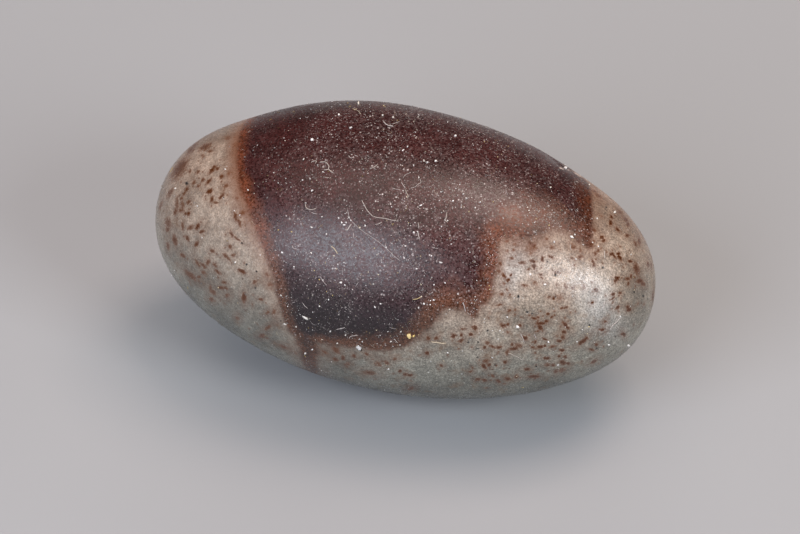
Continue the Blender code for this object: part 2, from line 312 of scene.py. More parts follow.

# The dust grains that show one by one, the first of them a pale grain that stands for a painted glint on the
# chip: across, down, half length, half width, slant, yellowing
GRAINS_AND_CHIP_GLINT = (
    (565.3, 168.8, 2, 1, 15, 0), (359, 348, 4.2, 2.6, 35, 0),
    (305.5, 317.5, 4, 1.5, 32, 0.1), (285, 324, 2.4, 1, 20, 0.1),
    (409.3, 335.5, 3.2, 2.7, 90, 0.8), (413.5, 336, 2, 1.1, -50, 0.9), (571.7, 237, 2.3, 1.4, 30, 0.05),
    (574.7, 234.5, 1, 0.8, 30, 0.1), (554.2, 242, 1.5, 1, 90, 0), (576, 259, 1, 0.9, 0, 0),
    (530.2, 274, 1.4, 1.3, 0, 0), (545, 284.3, 1.7, 1.1, 0, 0), (517.5, 326.6, 2.6, 1.5, 30, 0),
    (507.3, 317, 1, 0.9, 0, 0), (548.3, 341.8, 1.2, 1.1, 0, 0), (558, 364.7, 1.1, 0.9, 0, 0),
    (577, 341.5, 1.1, 0.9, 0, 0), (609, 344.7, 1.4, 0.8, 0, 0), (627.7, 345, 1.9, 1.1, -20, 0),
    (620.3, 316.5, 1.3, 0.8, 80, 0), (597, 218.5, 1.1, 0.9, 60, 0.1), (614.3, 212.5, 1.3, 1.2, 0, 0.1),
    (592.5, 242.5, 1, 0.8, 70, 0.1), (598.3, 246.3, 1.1, 0.9, 70, 0), (631, 254.3, 1.2, 0.8, -40, 0.1),
    (500, 330.5, 1.3, 0.8, 0, 0.1), (447.7, 352.5, 1.2, 0.8, 10, 0), (484.5, 319, 1, 0.8, 80, 0.1),
    (492.3, 357.3, 1.3, 0.9, 20, 0), (388.5, 368.7, 1, 0.8, 0, 0), (305.5, 353, 1.1, 1, 0, 0.1),
    (312.5, 349.3, 1, 0.9, 0, 0), (337.5, 343, 1, 0.9, 30, 0.1), (296.2, 326.5, 1, 0.8, 30, 0.1),
    (319.6, 306.2, 1.2, 0.9, 30, 0.1), (330.4, 331.3, 1.2, 1, 0, 0), (345.7, 335, 1.1, 0.8, -20, 0.1),
    (391, 341.3, 1.1, 0.8, -20, 0.1), (401, 331.5, 1.2, 0.9, -50, 0.1), (362.3, 341.5, 1, 0.8, 30, 0),
    (197.5, 206, 1, 0.9, 80, 0), (235.4, 262.3, 1.1, 1.1, 0, 0.1), (225.5, 169.3, 1, 0.8, 60, 0.05),
    (175.7, 188.4, 1.2, 0.9, 0, 0.15), (312.3, 140, 1.9, 1.7, -50, 0), (350.7, 128, 2, 1, -20, 0),
    (339, 115, 1.4, 0.9, -10, 0.1), (303.6, 159.3, 1.7, 0.9, -50, 0.1), (302.6, 180.2, 1.1, 1, 0, 0),
    (311.8, 190.6, 1.5, 0.8, -50, 0), (248, 190, 1, 0.9, 80, 0), (305.8, 203, 1, 0.8, 0, 0),
    (323, 172, 1, 0.8, 0, 0.1), (341.8, 222.6, 1.2, 0.9, 80, 0), (346.2, 222.4, 1.2, 0.9, 80, 0),
    (344, 224.9, 1.5, 0.9, 0, 0), (338.5, 218, 1.2, 0.8, 60, 0), (322.2, 216.8, 1, 0.8, 0, 0),
    (311.6, 227.2, 1.5, 1, 20, 0.05), (326.5, 234, 1, 0.8, -70, 0.05),
    (348.9, 217.5, 1.1, 0.9, -60, 0.05), (311.3, 253, 1.4, 0.8, 60, 0.1), (334, 255.7, 1, 0.8, 0, 0.35),
    (282, 252.3, 1.5, 0.8, 45, 0), (294, 266.6, 1, 0.8, 0, 0), (341, 282.4, 1.6, 1.2, 20, 0),
    (345, 285, 1.5, 0.9, 60, 0), (281, 295.3, 1.4, 0.9, 45, 0.1), (328.7, 299.5, 1, 0.8, 80, 0),
    (358.5, 104, 1.5, 1, 10, 0.25), (382.5, 115.7, 1.1, 0.8, 0, 0.1), (393, 117.7, 1.3, 0.8, 0, 0.15),
    (403, 150.3, 1.6, 0.8, -35, 0), (407.5, 146.5, 1.3, 0.7, -50, 0), (424, 160.7, 1.4, 0.9, 90, 0.15),
    (427.5, 162.3, 1.4, 0.9, 10, 0), (435.7, 161.1, 1.7, 1.1, 0, 0), (413.7, 165.5, 1.3, 0.7, 85, 0),
    (455.3, 136.1, 1.4, 1, 15, 0), (447.7, 122, 1.3, 0.7, 90, 0), (418.8, 177.5, 1.5, 0.7, 90, 0.1),
    (421, 205.3, 1.8, 0.9, -20, 0), (453, 201, 1.2, 0.9, -60, 0), (365.2, 225.7, 1.5, 1.1, 90, 0),
    (386, 247.3, 1.2, 0.9, 30, 0), (405.5, 246, 1.3, 0.9, 0, 0.05), (413.8, 232.4, 1.3, 1.1, 0, 0),
    (417.6, 231.7, 1, 0.8, 0, 0), (415, 222.7, 1, 0.8, 0, 0.05), (451.3, 244, 1.1, 0.8, 0, 0.05),
    (431.5, 255.8, 1.2, 0.8, -70, 0), (440.8, 262.5, 2.4, 1, 8, 0), (416.7, 268.8, 1.4, 1.1, -70, 0),
    (445.2, 282.8, 1, 0.9, 0, 0), (373.5, 284, 1, 1, 0, 0.1), (380.6, 303.6, 1.3, 1, 15, 0),
    (375, 307, 1.2, 0.9, 40, 0), (421.4, 296.6, 1, 0.8, -40, 0.3), (433.6, 300, 1.3, 0.8, 0, 0),
    (418.6, 307.6, 1.3, 0.9, -70, 0), (424, 304, 1.1, 0.9, 0, 0), (550.5, 187.6, 1, 0.8, 0, 0.2),
    (463.3, 194, 1.1, 0.8, -40, 0), (475.2, 207.8, 1, 0.9, 0, 0.05), (527.5, 207.3, 1, 0.8, 0, 0.2),
    (529, 210.5, 1, 0.8, 0, 0.2), (589, 185, 1.2, 0.8, 80, 0.2), (463.2, 303.5, 1.4, 0.6, 85, 0.1),
    (449.5, 309.3, 1.1, 0.9, 0, 0.2), (430.3, 304.5, 1, 0.8, 0, 0.1), (424, 303.5, 1.2, 0.8, 0, 0),
)

# The lint that shows one by one: half thickness in pixels, yellowing, route across and down
FIBRES = (
    (0.55, 0.05, ((361.5, 200), (363.5, 203.5), (366, 208.5), (369, 212.5), (373.5, 217))),
    (0.5, 0.05, ((373, 216), (377, 217.5), (384, 218.3), (390, 219.8), (397, 221))),
    (0.4, 0, (
        (347.5, 209), (348.5, 214), (350, 219), (357, 226.5), (362, 230.5), (367, 234), (374.5, 239),
        (380, 243), (384, 246.5), (388, 250), (392, 254), (396, 257.5), (400.5, 261)
    )),
    (0.75, 0.05, ((383, 121), (385, 123.5), (388, 125.5), (393.5, 126.5))),
    (0.45, 0.05, ((392, 124), (396, 123), (400, 121.5))),
    (0.8, 0.3, ((331, 246), (334, 248.3), (336, 251), (337.7, 254))),
    (0.75, 0.05, ((345, 229.8), (347.5, 229.8), (349.3, 227), (351.5, 224))),
    (0.7, 0.6, ((412.5, 299.3), (417, 298.8), (421.5, 296.5))),
    (1.15, 0.3, ((431, 341.6), (437, 342.3), (446.5, 343.6))),
    (0.7, 0.1, ((508, 353), (512, 354.3), (519, 357.5), (521, 359.3), (525, 359.5))),
    (0.75, 0.05, ((604.5, 301.5), (603.8, 305), (603.6, 309))),
    (0.6, 0.05, ((620.5, 317), (617, 321.5), (611.5, 326.5), (609.5, 330))),
    (0.6, 0.1, ((446.8, 212), (446, 218), (445, 220), (447.7, 222.5))),
    (0.55, 0.05, ((418, 222), (418.7, 226), (418.5, 228.5))),
    (0.6, 0.05, ((417.7, 231), (418.3, 234.5), (419.7, 239))),
    (0.6, 0.05, ((375, 224.4), (378.5, 224), (382, 222))),
    (0.75, 0.1, (
        (319.5, 162.5), (323, 162), (326.5, 162.7), (329, 166.5), (328.7, 169.5), (333.5, 173.2)
    )),
    (0.6, 0.1, ((323.5, 170), (329, 169.7))),
    (0.45, 0.1, ((323, 177), (325.5, 177.3), (329.5, 177.7))),
    (0.55, 0.1, ((311, 162.5), (314, 161), (316.5, 161.3), (315.5, 163.5))),
    (0.6, 0.1, ((305.5, 204), (306, 207), (308, 209), (312, 209.6), (316.5, 208.5))),
    (0.45, 0, ((311, 212), (314, 213.5), (317, 214))),
    (0.5, 0, ((292.3, 245.3), (293.3, 248), (295.5, 249))),
    (0.4, 0, ((320, 276), (323, 281), (327, 285.5))),
    (0.45, 0, ((302.5, 302.5), (305, 306), (308, 308.5))),
    (0.55, 0, ((358.3, 282), (355.3, 287))),
    (0.6, 0.1, ((370, 168.7), (374, 167.3), (377.5, 164.7))),
    (0.45, 0.05, ((403, 178), (405.5, 175), (411, 172.3))),
    (0.5, 0.05, ((401.3, 182), (403, 185), (405.3, 188))),
    (0.65, 0.15, ((405.5, 189), (406.5, 193), (408, 195.5), (407.5, 199))),
    (0.45, 0.05, ((410.5, 188.3), (415, 187), (418.5, 184), (421, 182.5), (420, 179))),
    (0.35, 0.05, ((391.5, 188), (396, 189), (400.5, 190))),
    (0.6, 0.4, ((352.5, 108.5), (355, 110), (357, 108.5))),
    (0.6, 0.25, ((355.5, 109.5), (358.5, 111.5), (361, 114.5))),
    (0.6, 0, ((353.7, 232.5), (353.3, 238.5))),
    (0.55, 0, ((462.8, 302), (464.5, 307), (465.5, 312))),
    (0.6, 0.05, ((349, 338.5), (351.5, 336), (358, 335.3))),
    (0.6, 0, ((336, 329.3), (340, 328.7), (345, 327.5))),
    (0.6, 0.05, ((394, 338.5), (398, 343))),
    (0.65, 0.1, ((570.6, 244.5), (570.3, 247), (570.5, 250))),
    (0.65, 0.1, ((604.2, 250.5), (604.5, 254), (604.6, 258.5))),
    (0.6, 0, ((534.3, 334), (536.5, 338.7))),
    (0.55, 0.05, ((520.5, 333.5), (522.5, 337.5), (524.5, 343))),
    (0.45, 0.05, ((350, 157.3), (348.5, 155.5), (350.5, 158), (353.5, 157.7))),
)

STONE_NAME = "polished_stone"


ANY_COLOUR = {"subtype": "COLOR", "min": 0, "max": 1}


class StoneSettings(bpy.types.PropertyGroup):
    """Finish and colours of the stone"""

    undulation: FloatProperty(
        name="Undulation",
        description="Depth of the low relief left by polishing by hand",
        default=0.018 * MM,
        min=0,
        max=0.2 * MM,
        unit="LENGTH",
        precision=6,
    )
    grain_height: FloatProperty(
        name="Grain height",
        description="Height of the fine grain that breaks up the shine",
        default=0.016 * MM,
        min=0,
        max=0.1 * MM,
        unit="LENGTH",
        precision=6,
    )
    roughness: FloatProperty(
        name="Roughness",
        description="Roughness of the polished surface",
        default=0.31,
        min=0.05,
        max=1,
        subtype="FACTOR",
    )
    # The two body colours are partly the stone's own colouring and partly painted light: painted warm light
    # from the top lamp on the upper body, and painted shade that darkens the lower body
    lower_body_colour_and_shade: FloatVectorProperty(
        name="Body",
        description="Pale colour of the body's lower half",
        default=(0.184, 0.179, 0.150),
        **ANY_COLOUR,
    )
    upper_body_colour_and_warm_light: FloatVectorProperty(
        name="Upper body",
        description="Warmer colour of the body's upper half",
        default=(0.310, 0.240, 0.186),
        **ANY_COLOUR,
    )
    freckle_colour: FloatVectorProperty(
        name="Freckles",
        description="Colour of the freckles, darker at the heart of the bold ones",
        default=(0.120, 0.030, 0.002),
        **ANY_COLOUR,
    )
    rust_colour: FloatVectorProperty(
        name="Rust rim",
        description="Colour of the rim round the dark patch",
        default=(0.114, 0.028, 0.009),
        **ANY_COLOUR,
    )
    patch_colour: FloatVectorProperty(
        name="Dark patch",
        description="Colour of the patch on top",
        default=(0.036, 0.0078, 0.0070),
        **ANY_COLOUR,
    )
    patch_low_colour: FloatVectorProperty(
        name="Dark patch, low",
        description="Colour of the patch towards its lower edge",
        default=(0.0165, 0.0072, 0.0105),
        **ANY_COLOUR,
    )


class DustSettings(bpy.types.PropertyGroup):
    """Dust grains that lie on the stone"""

    count: IntProperty(
        name="Grains",
        description="Number of scattered grains besides the ones that show one by one",
        default=4500,
        min=0,
        max=6000,
    )
    colour: FloatVectorProperty(
        name="Dust",
        description="Colour of the dust",
        default=(0.76, 0.74, 0.72),
        **ANY_COLOUR,
    )


class LintSettings(bpy.types.PropertyGroup):
    """Lint that lies on the stone"""

    count: IntProperty(
        name="Fibres",
        description="Number of scattered short fibres besides the ones that show one by one",
        default=320,
        min=0,
        max=2000,
    )
    colour: FloatVectorProperty(
        name="Lint",
        description="Colour of the lint",
        default=(0.45, 0.405, 0.39),
        **ANY_COLOUR,
    )


class StageSettings(bpy.types.PropertyGroup):
    """Floor, lights and camera"""

    floor_colour: FloatVectorProperty(
        name="Floor",
        description="Colour of the plain floor",
        default=(0.37, 0.38, 0.39),
        **ANY_COLOUR,
    )
    brightness: FloatProperty(
        name="Brightness",
        description="Strength of all the lamps together",
        default=1,
        min=0,
        max=10,
        subtype="FACTOR",
    )
    focal_length: FloatProperty(
        name="Focal length",
        description="Focal length of the lens",
        default=FOCAL_LENGTH,
        min=50,
        max=500,
        subtype="DISTANCE_CAMERA",
    )


def plain_radius(along):
    """Radius of the even form at places along X, all in millimetres."""
    share = np.clip(along / HALF_LENGTH, -1, 1)
    return BELLY_RADIUS * np.sqrt(1 - share**2) * (1 - TAPER * share + END_FULLNESS * share**6)


def bumps(along, turn, radius, rows):
    """Sum of soft bumps, each (along, degrees, height, spread along, spread round)."""
    total = np.zeros_like(radius)
    for middle, degrees, height, spread_along, spread_round in rows:
        away = np.remainder(turn - math.radians(degrees) + math.pi, math.tau) - math.pi
        across = away * radius / spread_round
        total += height * np.exp(-(((along - middle) / spread_along) ** 2) - across**2)
    return total


def stone_radius(along, turn):
    radius = plain_radius(along)
    return radius + bumps(along, turn, radius, UNEVENNESS)


def place_on_stone(along, turn):
    """Points in millimetres at places on the stone."""
    radius = stone_radius(along, turn)
    height = AXIS_HEIGHT + radius * np.cos(turn)
    return np.stack(np.broadcast_arrays(along, -radius * np.sin(turn), height), -1)


def outward(points):
    """Unit normals of the even form at points on it."""
    across = (points - (0, 0, AXIS_HEIGHT)) / np.array((HALF_LENGTH, BELLY_RADIUS, BELLY_RADIUS)) ** 2
    return across / np.linalg.norm(across, axis=-1, keepdims=True)


def direction(azimuth, elevation):
    """Unit vector from the stone, azimuth counted to the right of the front."""
    a, e = math.radians(azimuth), math.radians(elevation)
    return Vector((math.sin(a) * math.cos(e), -math.cos(a) * math.cos(e), math.sin(e)))


def camera_matrix():
    back = direction(CAMERA_AZIMUTH, CAMERA_ELEVATION)
    turned = back.to_track_quat("Z", "Y").to_matrix().to_4x4()
    roll = Matrix.Rotation(math.radians(CAMERA_ROLL), 4, "Z")
    return Matrix.Translation(Vector(CAMERA_AIM) + back * CAMERA_DISTANCE) @ turned @ roll


class PhotoView:
    """Finds on the stone what a pixel of the photograph shows. Everything is in millimetres."""

    pixel = SENSOR_WIDTH / PICTURE_WIDTH / FOCAL_LENGTH  # width of a pixel at a distance of one
    step_in = 0.25  # pixels
    steps_in = 60
    least_facing = 0.30  # marks nearer the outline than this cosine are not drawn out any further
    most_stretch = 2.2
    grazing = 0.06  # cosine below which the stone is taken as hidden

    def __init__(self, points, quads):
        matrix = camera_matrix()
        self.eye = matrix.translation / MM
        self.turned = matrix.to_3x3()
        self.tree = BVHTree.FromPolygons(points.tolist(), quads.tolist())

    def meet(self, across, down):
        """Place, outward normal and line of sight, at the pixel or the nearest one inwards on the stone."""
        spot = Vector((across, down))
        inwards = (Vector(STONE_IN_PICTURE) - spot).normalized() * self.step_in
        for _ in range(self.steps_in):
            right = (spot.x - PICTURE_WIDTH / 2) * self.pixel
            up = (PICTURE_HEIGHT / 2 - spot.y) * self.pixel
            sight = (self.turned @ Vector((right, up, -1))).normalized()
            place, normal, _, _ = self.tree.ray_cast(self.eye, sight)
            if place is not None:
                return np.array(place), np.array(normal), np.array(sight)
            spot += inwards
        raise RuntimeError(f"The stone is not at pixel {across}, {down}")

    def mark(self, across, down, half_length, half_width, slant, enlarged):
        """Place and the two half axes, flat on the stone, of a mark that is given in pixels."""
        place, normal, sight = self.meet(across, down)
        size = np.linalg.norm(place - np.array(self.eye)) * self.pixel * enlarged
        lean = math.radians(slant)
        axes = []
        for right, up, half in (
            (math.cos(lean), -math.sin(lean), half_length),
            (math.sin(lean), math.cos(lean), half_width),
        ):
            axis = np.array(self.turned @ Vector((right, up, 0))) * half * size
            # Slid along the line of sight until it lies flat
            axis += sight * (normal @ axis) / max(-(normal @ sight), self.least_facing)
            longest = self.most_stretch * max(half_length, half_width) * size
            axes.append(axis * min(1, longest / np.linalg.norm(axis)))
        return place, *axes

    def marks(self, rows, enlarged=1.0):
        """Every mark in a table, as place, two half axes and strength."""
        return [(*self.mark(*row[:5], enlarged), row[5]) for row in rows]

    def sees(self, points):
        """Whether points on the stone face the camera."""
        return outward(points) @ np.array(direction(CAMERA_AZIMUTH, CAMERA_ELEVATION)) > self.grazing


def smooth_curve(rows, steps, closed=False):
    """A curve through all the rows, with each column interpolated alike."""
    rows = np.array(rows, float)
    if closed:
        run = np.concatenate((rows[-1:], rows, rows[:2]))
    else:
        run = np.concatenate((rows[:1], rows, rows[-1:]))
    before, here, after, beyond = run[:-3], run[1:-2], run[2:-1], run[3:]
    curve = []
    for share in np.arange(steps) / steps:
        bend = 2 * before - 5 * here + 4 * after - beyond
        twist = 3 * (here - after) + beyond - before
        curve.append(here + 0.5 * share * (after - before + share * (bend + share * twist)))
    curve = np.stack(curve, 1).reshape(-1, rows.shape[1])
    return curve if closed else np.concatenate((curve, rows[-1:]))


def inside_loop(along, turn, loop):
    """Whether places lie inside a closed loop of (along, turn)."""
    inside = np.zeros(len(along), bool)
    for (a0, t0), (a1, t1) in zip(loop, np.roll(loop, -1, 0)):
        crosses = (t0 > turn) != (t1 > turn)
        if crosses.any():
            at = a0 + (turn[crosses] - t0) / (t1 - t0) * (a1 - a0)
            inside[crosses] ^= along[crosses] < at
    return inside


def patch_fields(along, turn, points):
    """For each point: how far it is inside the dark patch, its rim's width there, and the fraying."""
    loop = smooth_curve(PATCH_EDGE, EDGE_STEPS, closed=True)
    loop_turn = np.radians(loop[:, 1])
    starts = place_on_stone(loop[:, 0], loop_turn)
    spans = np.roll(starts, -1, 0) - starts
    reach = (spans**2).sum(1)
    traits, traits_step = loop[:, 2:], np.roll(loop[:, 2:], -1, 0) - loop[:, 2:]
    distance = np.empty(len(points))
    trait = np.empty((len(points), 2))
    for first in range(0, len(points), BATCH):
        rows = slice(first, first + BATCH)
        from_start = points[rows, None] - starts
        share = np.clip((from_start * spans).sum(-1) / reach, 0, 1)
        apart = ((from_start - share[..., None] * spans) ** 2).sum(-1)
        nearest = apart.argmin(1)
        row = np.arange(len(nearest))
        distance[rows] = np.sqrt(apart[row, nearest])
        trait[rows] = traits[nearest] + share[row, nearest, None] * traits_step[nearest]
    inside = inside_loop(along, turn, np.stack((loop[:, 0], loop_turn), 1))
    edge = np.where(inside, distance, -distance)
    turns, lefts, widths = np.array(BAND, float).T
    degrees = np.degrees(turn) % 360
    left = np.interp(degrees, turns, lefts)
    width = np.interp(degrees, turns, widths)
    band = np.minimum(along - left, left + width - along) * BAND_SLANT
    band = np.where((degrees >= turns[0]) & (degrees <= turns[-1]), band, FAR_OUTSIDE)
    on_band = band > edge
    rim = np.where(on_band, BAND_RIM, trait[:, 0])
    fray = np.where(on_band, BAND_FRAY, trait[:, 1])
    return np.maximum(edge, band), rim, fray


NEARLY_ALONG = (1.0, 0.0, 0.02)  # a little off the long axis, so that it isn't a normal at the tips


def flat_axes(points, heading):
    """Two unit vectors flat on the stone at each point, the first turned by heading from the long axis."""
    normal = outward(points)
    ahead = np.cross(np.cross(normal, NEARLY_ALONG), normal)
    ahead /= np.linalg.norm(ahead, axis=-1, keepdims=True)
    aside = np.cross(normal, ahead)
    cosine, sine = np.cos(heading)[..., None], np.sin(heading)[..., None]
    return ahead * cosine + aside * sine, aside * cosine - ahead * sine


def place_of(points):
    """Where points lie: millimetres along, and radians round from the top."""
    return points[..., 0], np.arctan2(-points[..., 1], points[..., 2] - AXIS_HEIGHT)


# Added freckles: half length of the largest in millimetres, weakest and strongest
FAINT_FRECKLES = (0.40, 0.15, 0.45)
BOLD_FRECKLES = (0.95, 0.40, 1.0)
SMALLEST_FRECKLE = 0.20
FRECKLE_FALLOFF = 2.5  # the higher, the fewer are large
FRECKLE_WIDTHS = (0.5, 0.95)  # narrowest and widest, of their length
FRECKLE_GAP = 0.15  # millimetres kept clear beside the patch
STRAY_SEEN = 0.8  # STRAY_SEEN = 0.8 # millimetres by which they stray from the listed ones
STRAY_HIDDEN = 0.7
FOLDS = (-0.12, 2.2)  # radians round from the top
NEAR_END = 0.995  # of the half length, because the tip has no direction


def more_freckles(view, picked, chance):
    """Faint freckles among the listed ones, and on the sides that the photograph hides as many as it shows.
    Each freckle is a place, two half axes and a strength."""
    places = np.array([mark[0] for mark in picked])
    along, turn = place_of(places)
    found = []

    def add(along, turn, wanted, largest, weakest, strongest):
        along = np.clip(along, -HALF_LENGTH * NEAR_END, HALF_LENGTH * NEAR_END)
        points = place_on_stone(along, turn)
        edge = patch_fields(along, turn, points)[0]
        keep = (view.sees(points) == wanted) & (edge < -FRECKLE_GAP)
        points = points[keep]
        ahead, aside = flat_axes(points, chance.uniform(0, math.pi, len(points)))
        size = chance.random(len(points)) ** FRECKLE_FALLOFF
        half = SMALLEST_FRECKLE + (largest - SMALLEST_FRECKLE) * size
        narrow = half * chance.uniform(*FRECKLE_WIDTHS, len(points))
        strength = chance.uniform(weakest, strongest, len(points))
        found.extend(zip(points, ahead * half[:, None], aside * narrow[:, None], strength))

    def strayed(spread):
        return chance.normal(0, spread, len(places)), chance.normal(0, spread, len(places)) / 10

    off, off_round = strayed(STRAY_SEEN)
    add(along + off, turn + off_round, True, *FAINT_FRECKLES)
    # The hidden sides take the crowding of the side that shows, folded over at two lines along the stone
    for fold in FOLDS:
        for sizes in (BOLD_FRECKLES, FAINT_FRECKLES):
            off, off_round = strayed(STRAY_HIDDEN)
            add(along + off, 2 * fold - turn + off_round, False, *sizes)
    return found


FRECKLE_SIZE = 2.9  # a freckle's faded rim lies outside what was measured
PIT_SIZE = 1.7
MARK_RIM = 1.1  # where a mark begins to show, in its own half axes
MARK_HEART = 0.68  # where it shows in full
MARK_HALO = 1.9  # where the faint stain round it ends
MARK_LIFT = 0.25  # below one, faint marks are made stronger
MARK_NOISE = (0.11, 3.0, 0.6)  # size in millimetres, detail and roughness of its ragged rim
MARK_RAGGEDNESS = (0.9, 0.9, 0)  # along its long and its short half axis
MARK_GAP = 0.3  # millimetres kept clear between the marks of one layer
FAR_FROM_MARKS = (0, 0, 20)


def mark_layers(points, marks):
    """Sorts the marks into layers in which they keep apart. For each layer, gives where every corner lies in
    the nearest mark: along its long and its short half axis, and how much it is faded."""
    centres = np.array([mark[0] for mark in marks])
    reach = MARK_HALO * np.array([np.linalg.norm(mark[1:3], axis=-1).max() for mark in marks]) + MARK_GAP
    apart = np.linalg.norm(centres[:, None] - centres, axis=-1)
    layer_of = np.full(len(marks), -1)
    layers = []
    for number in np.argsort(-reach):
        taken = set(layer_of[apart[number] < reach[number] + reach + MARK_GAP])
        layer = 0
        while layer in taken:
            layer += 1
        layer_of[number] = layer
        if layer == len(layers):
            layers.append(np.tile(np.array(FAR_FROM_MARKS, float), (len(points), 1)))
        centre, long_axis, short_axis, strength = marks[number]
        offset = points - centre
        near = np.nonzero((offset**2).sum(1) < reach[number] ** 2)[0]
        layers[layer][near, :2] = offset[near] @ np.linalg.pinv(np.stack((long_axis, short_axis), 1)).T
        # How far along the fading curve this strength lies
        share = 0.5 - math.sin(math.asin(1 - 2 * strength**MARK_LIFT) / 3)
        layers[layer][near, 2] = MARK_RIM - share * (MARK_RIM - MARK_HEART)
    return layers


def block_grid(cells_along, cells_round):
    """Corners and quads of a block's six sides, in cells, with the sides welded together."""
    steps = (cells_along, cells_round, cells_round)
    corners, quads, found = [], [], {}
    for axis in range(3):
        first, second = (axis + 1) % 3, (axis + 2) % 3
        for side in (0, steps[axis]):
            index = np.empty((steps[first] + 1, steps[second] + 1), int)
            for i in range(steps[first] + 1):
                for j in range(steps[second] + 1):
                    key = [0, 0, 0]
                    key[axis], key[first], key[second] = side, i, j
                    key = tuple(key)
                    if key not in found:
                        found[key] = len(corners)
                        corners.append(key)
                    index[i, j] = found[key]
            quad = np.stack((index[:-1, :-1], index[1:, :-1], index[1:, 1:], index[:-1, 1:]), -1)
            quads.append((quad if side else quad[..., ::-1]).reshape(-1, 4))
    return np.array(corners, float) / steps, np.concatenate(quads)


RELIEF_WAVES = 0.22  # per millimetre


def rolling(points, per_millimetre):
    """Rolling noise with a few octaves, mostly -1 to 1."""
    return np.array([noise.fractal(Vector(point) * per_millimetre, 1.0, 2.0, 3) for point in points])


def relief(points):
    """Low relief of a hand-polished pebble, from 0 down to -1."""
    return np.clip(rolling(points, RELIEF_WAVES), -1, 1) * 0.5 - 0.5


def new_mesh_object(name, points, faces, material):
    mesh = bpy.data.meshes.new(name)
    mesh.from_pydata((points * MM).tolist(), [], faces.tolist())
    mesh.polygons.foreach_set("use_smooth", [True] * len(mesh.polygons))
    mesh.materials.append(material)
    mesh.update()
    thing = bpy.data.objects.new(name, mesh)
    bpy.context.scene.collection.objects.link(thing)
    return thing


def add_field(thing, name, values):
    """Stores one number for each corner, for the material to read."""
    layer = thing.data.attributes.new(name, "FLOAT", "POINT")
    layer.data.foreach_set("value", np.asarray(values, np.float32))


def add_places(thing, name, values):
    """Stores a place for each corner, for the material to read."""
    layer = thing.data.attributes.new(name, "FLOAT_VECTOR", "POINT")
    layer.data.foreach_set("vector", np.asarray(values, np.float32).ravel())


def add_node(tree, kind, inputs=None, **settings):
    """Adds a node, sets it up, and links or fills its inputs."""
    node = tree.nodes.new(kind)
    for name, value in settings.items():
        setattr(node, name, value)
    for name, value in (inputs or {}).items():
        if isinstance(value, bpy.types.NodeSocket):
            tree.links.new(value, node.inputs[name])
        else:
            node.inputs[name].default_value = value
    return node


def new_material(name):
    material = bpy.data.materials.new(name)
    material.use_nodes = True
    return material, material.node_tree, material.node_tree.nodes["Principled BSDF"]


def millimetres(tree):
    """Places on the piece, in millimetres."""
    place = add_node(tree, "ShaderNodeTexCoord").outputs["Object"]
    scaled = add_node(tree, "ShaderNodeVectorMath", {0: place, "Scale": 1 / MM}, operation="SCALE")
    return scaled.outputs["Vector"]


def calc(tree, operation, a, b):
    return add_node(tree, "ShaderNodeMath", {0: a, 1: b}, operation=operation).outputs["Value"]


def times(tree, first, *others):
    """The product of all the factors."""
    for other in others:
        first = calc(tree, "MULTIPLY", first, other)
    return first


def ease(tree, value, start, end, low=0.0, high=1.0):
    """Eases from low to high as value goes from start to end."""
    inputs = {"Value": value, "From Min": start, "From Max": end, "To Min": low, "To Max": high}
    node = add_node(tree, "ShaderNodeMapRange", inputs, interpolation_type="SMOOTHSTEP")
    return node.outputs["Result"]


def cloud(tree, place, size, detail=3.0, roughness=0.55, output="Fac"):
    """Noise with features of about size, in millimetres, mostly 0.3 to 0.7."""
    inputs = {"Vector": place, "Scale": 0.5 / size, "Detail": detail, "Roughness": roughness}
    return add_node(tree, "ShaderNodeTexNoise", inputs).outputs[output]


def noise_share(tree, place, settings):
    """Noise that is eased to an amount, with its settings as they are listed below."""
    return ease(tree, cloud(tree, place, *settings[:3]), *settings[3:])


def tint(tree, share, first, second):
    """Mixes two colours."""
    node = add_node(tree, "ShaderNodeMix", data_type="RGBA")
    for socket, value in ((0, share), (6, first), (7, second)):
        if isinstance(value, bpy.types.NodeSocket):
            tree.links.new(value, node.inputs[socket])
        else:
            node.inputs[socket].default_value = value if socket == 0 else (*value, 1)
    return node.outputs[2]


def shade(tree, colour, factor):
    """Multiplies a colour by a number."""
    node = add_node(tree, "ShaderNodeVectorMath", {0: colour, "Scale": factor}, operation="SCALE")
    return node.outputs["Vector"]


def field(tree, name):
    return add_node(tree, "ShaderNodeAttribute", attribute_name=name).outputs["Fac"]


FAINTEST_SPOT = 0.20


def spots(tree, place, cell, smallest, largest, crowding, hardness):
    """Round spots with one at most in each cell, all sizes in millimetres. Returns their share of colour."""
    voronoi = add_node(tree, "ShaderNodeTexVoronoi", {"Vector": place, "Scale": 1 / cell})
    chance = add_node(tree, "ShaderNodeSeparateColor", {"Color": voronoi.outputs["Color"]})
    there = calc(tree, "LESS_THAN", chance.outputs["Red"], crowding)
    spread = times(tree, calc(tree, "POWER", chance.outputs["Green"], 2.0), (largest - smallest) / cell)
    radius = calc(tree, "ADD", spread, smallest / cell)
    round_spot = ease(tree, voronoi.outputs["Distance"], radius, times(tree, radius, hardness))
    strength = times(tree, calc(tree, "POWER", chance.outputs["Blue"], 2.0), 1 - FAINTEST_SPOT)
    return times(tree, round_spot, calc(tree, "ADD", strength, FAINTEST_SPOT), there)


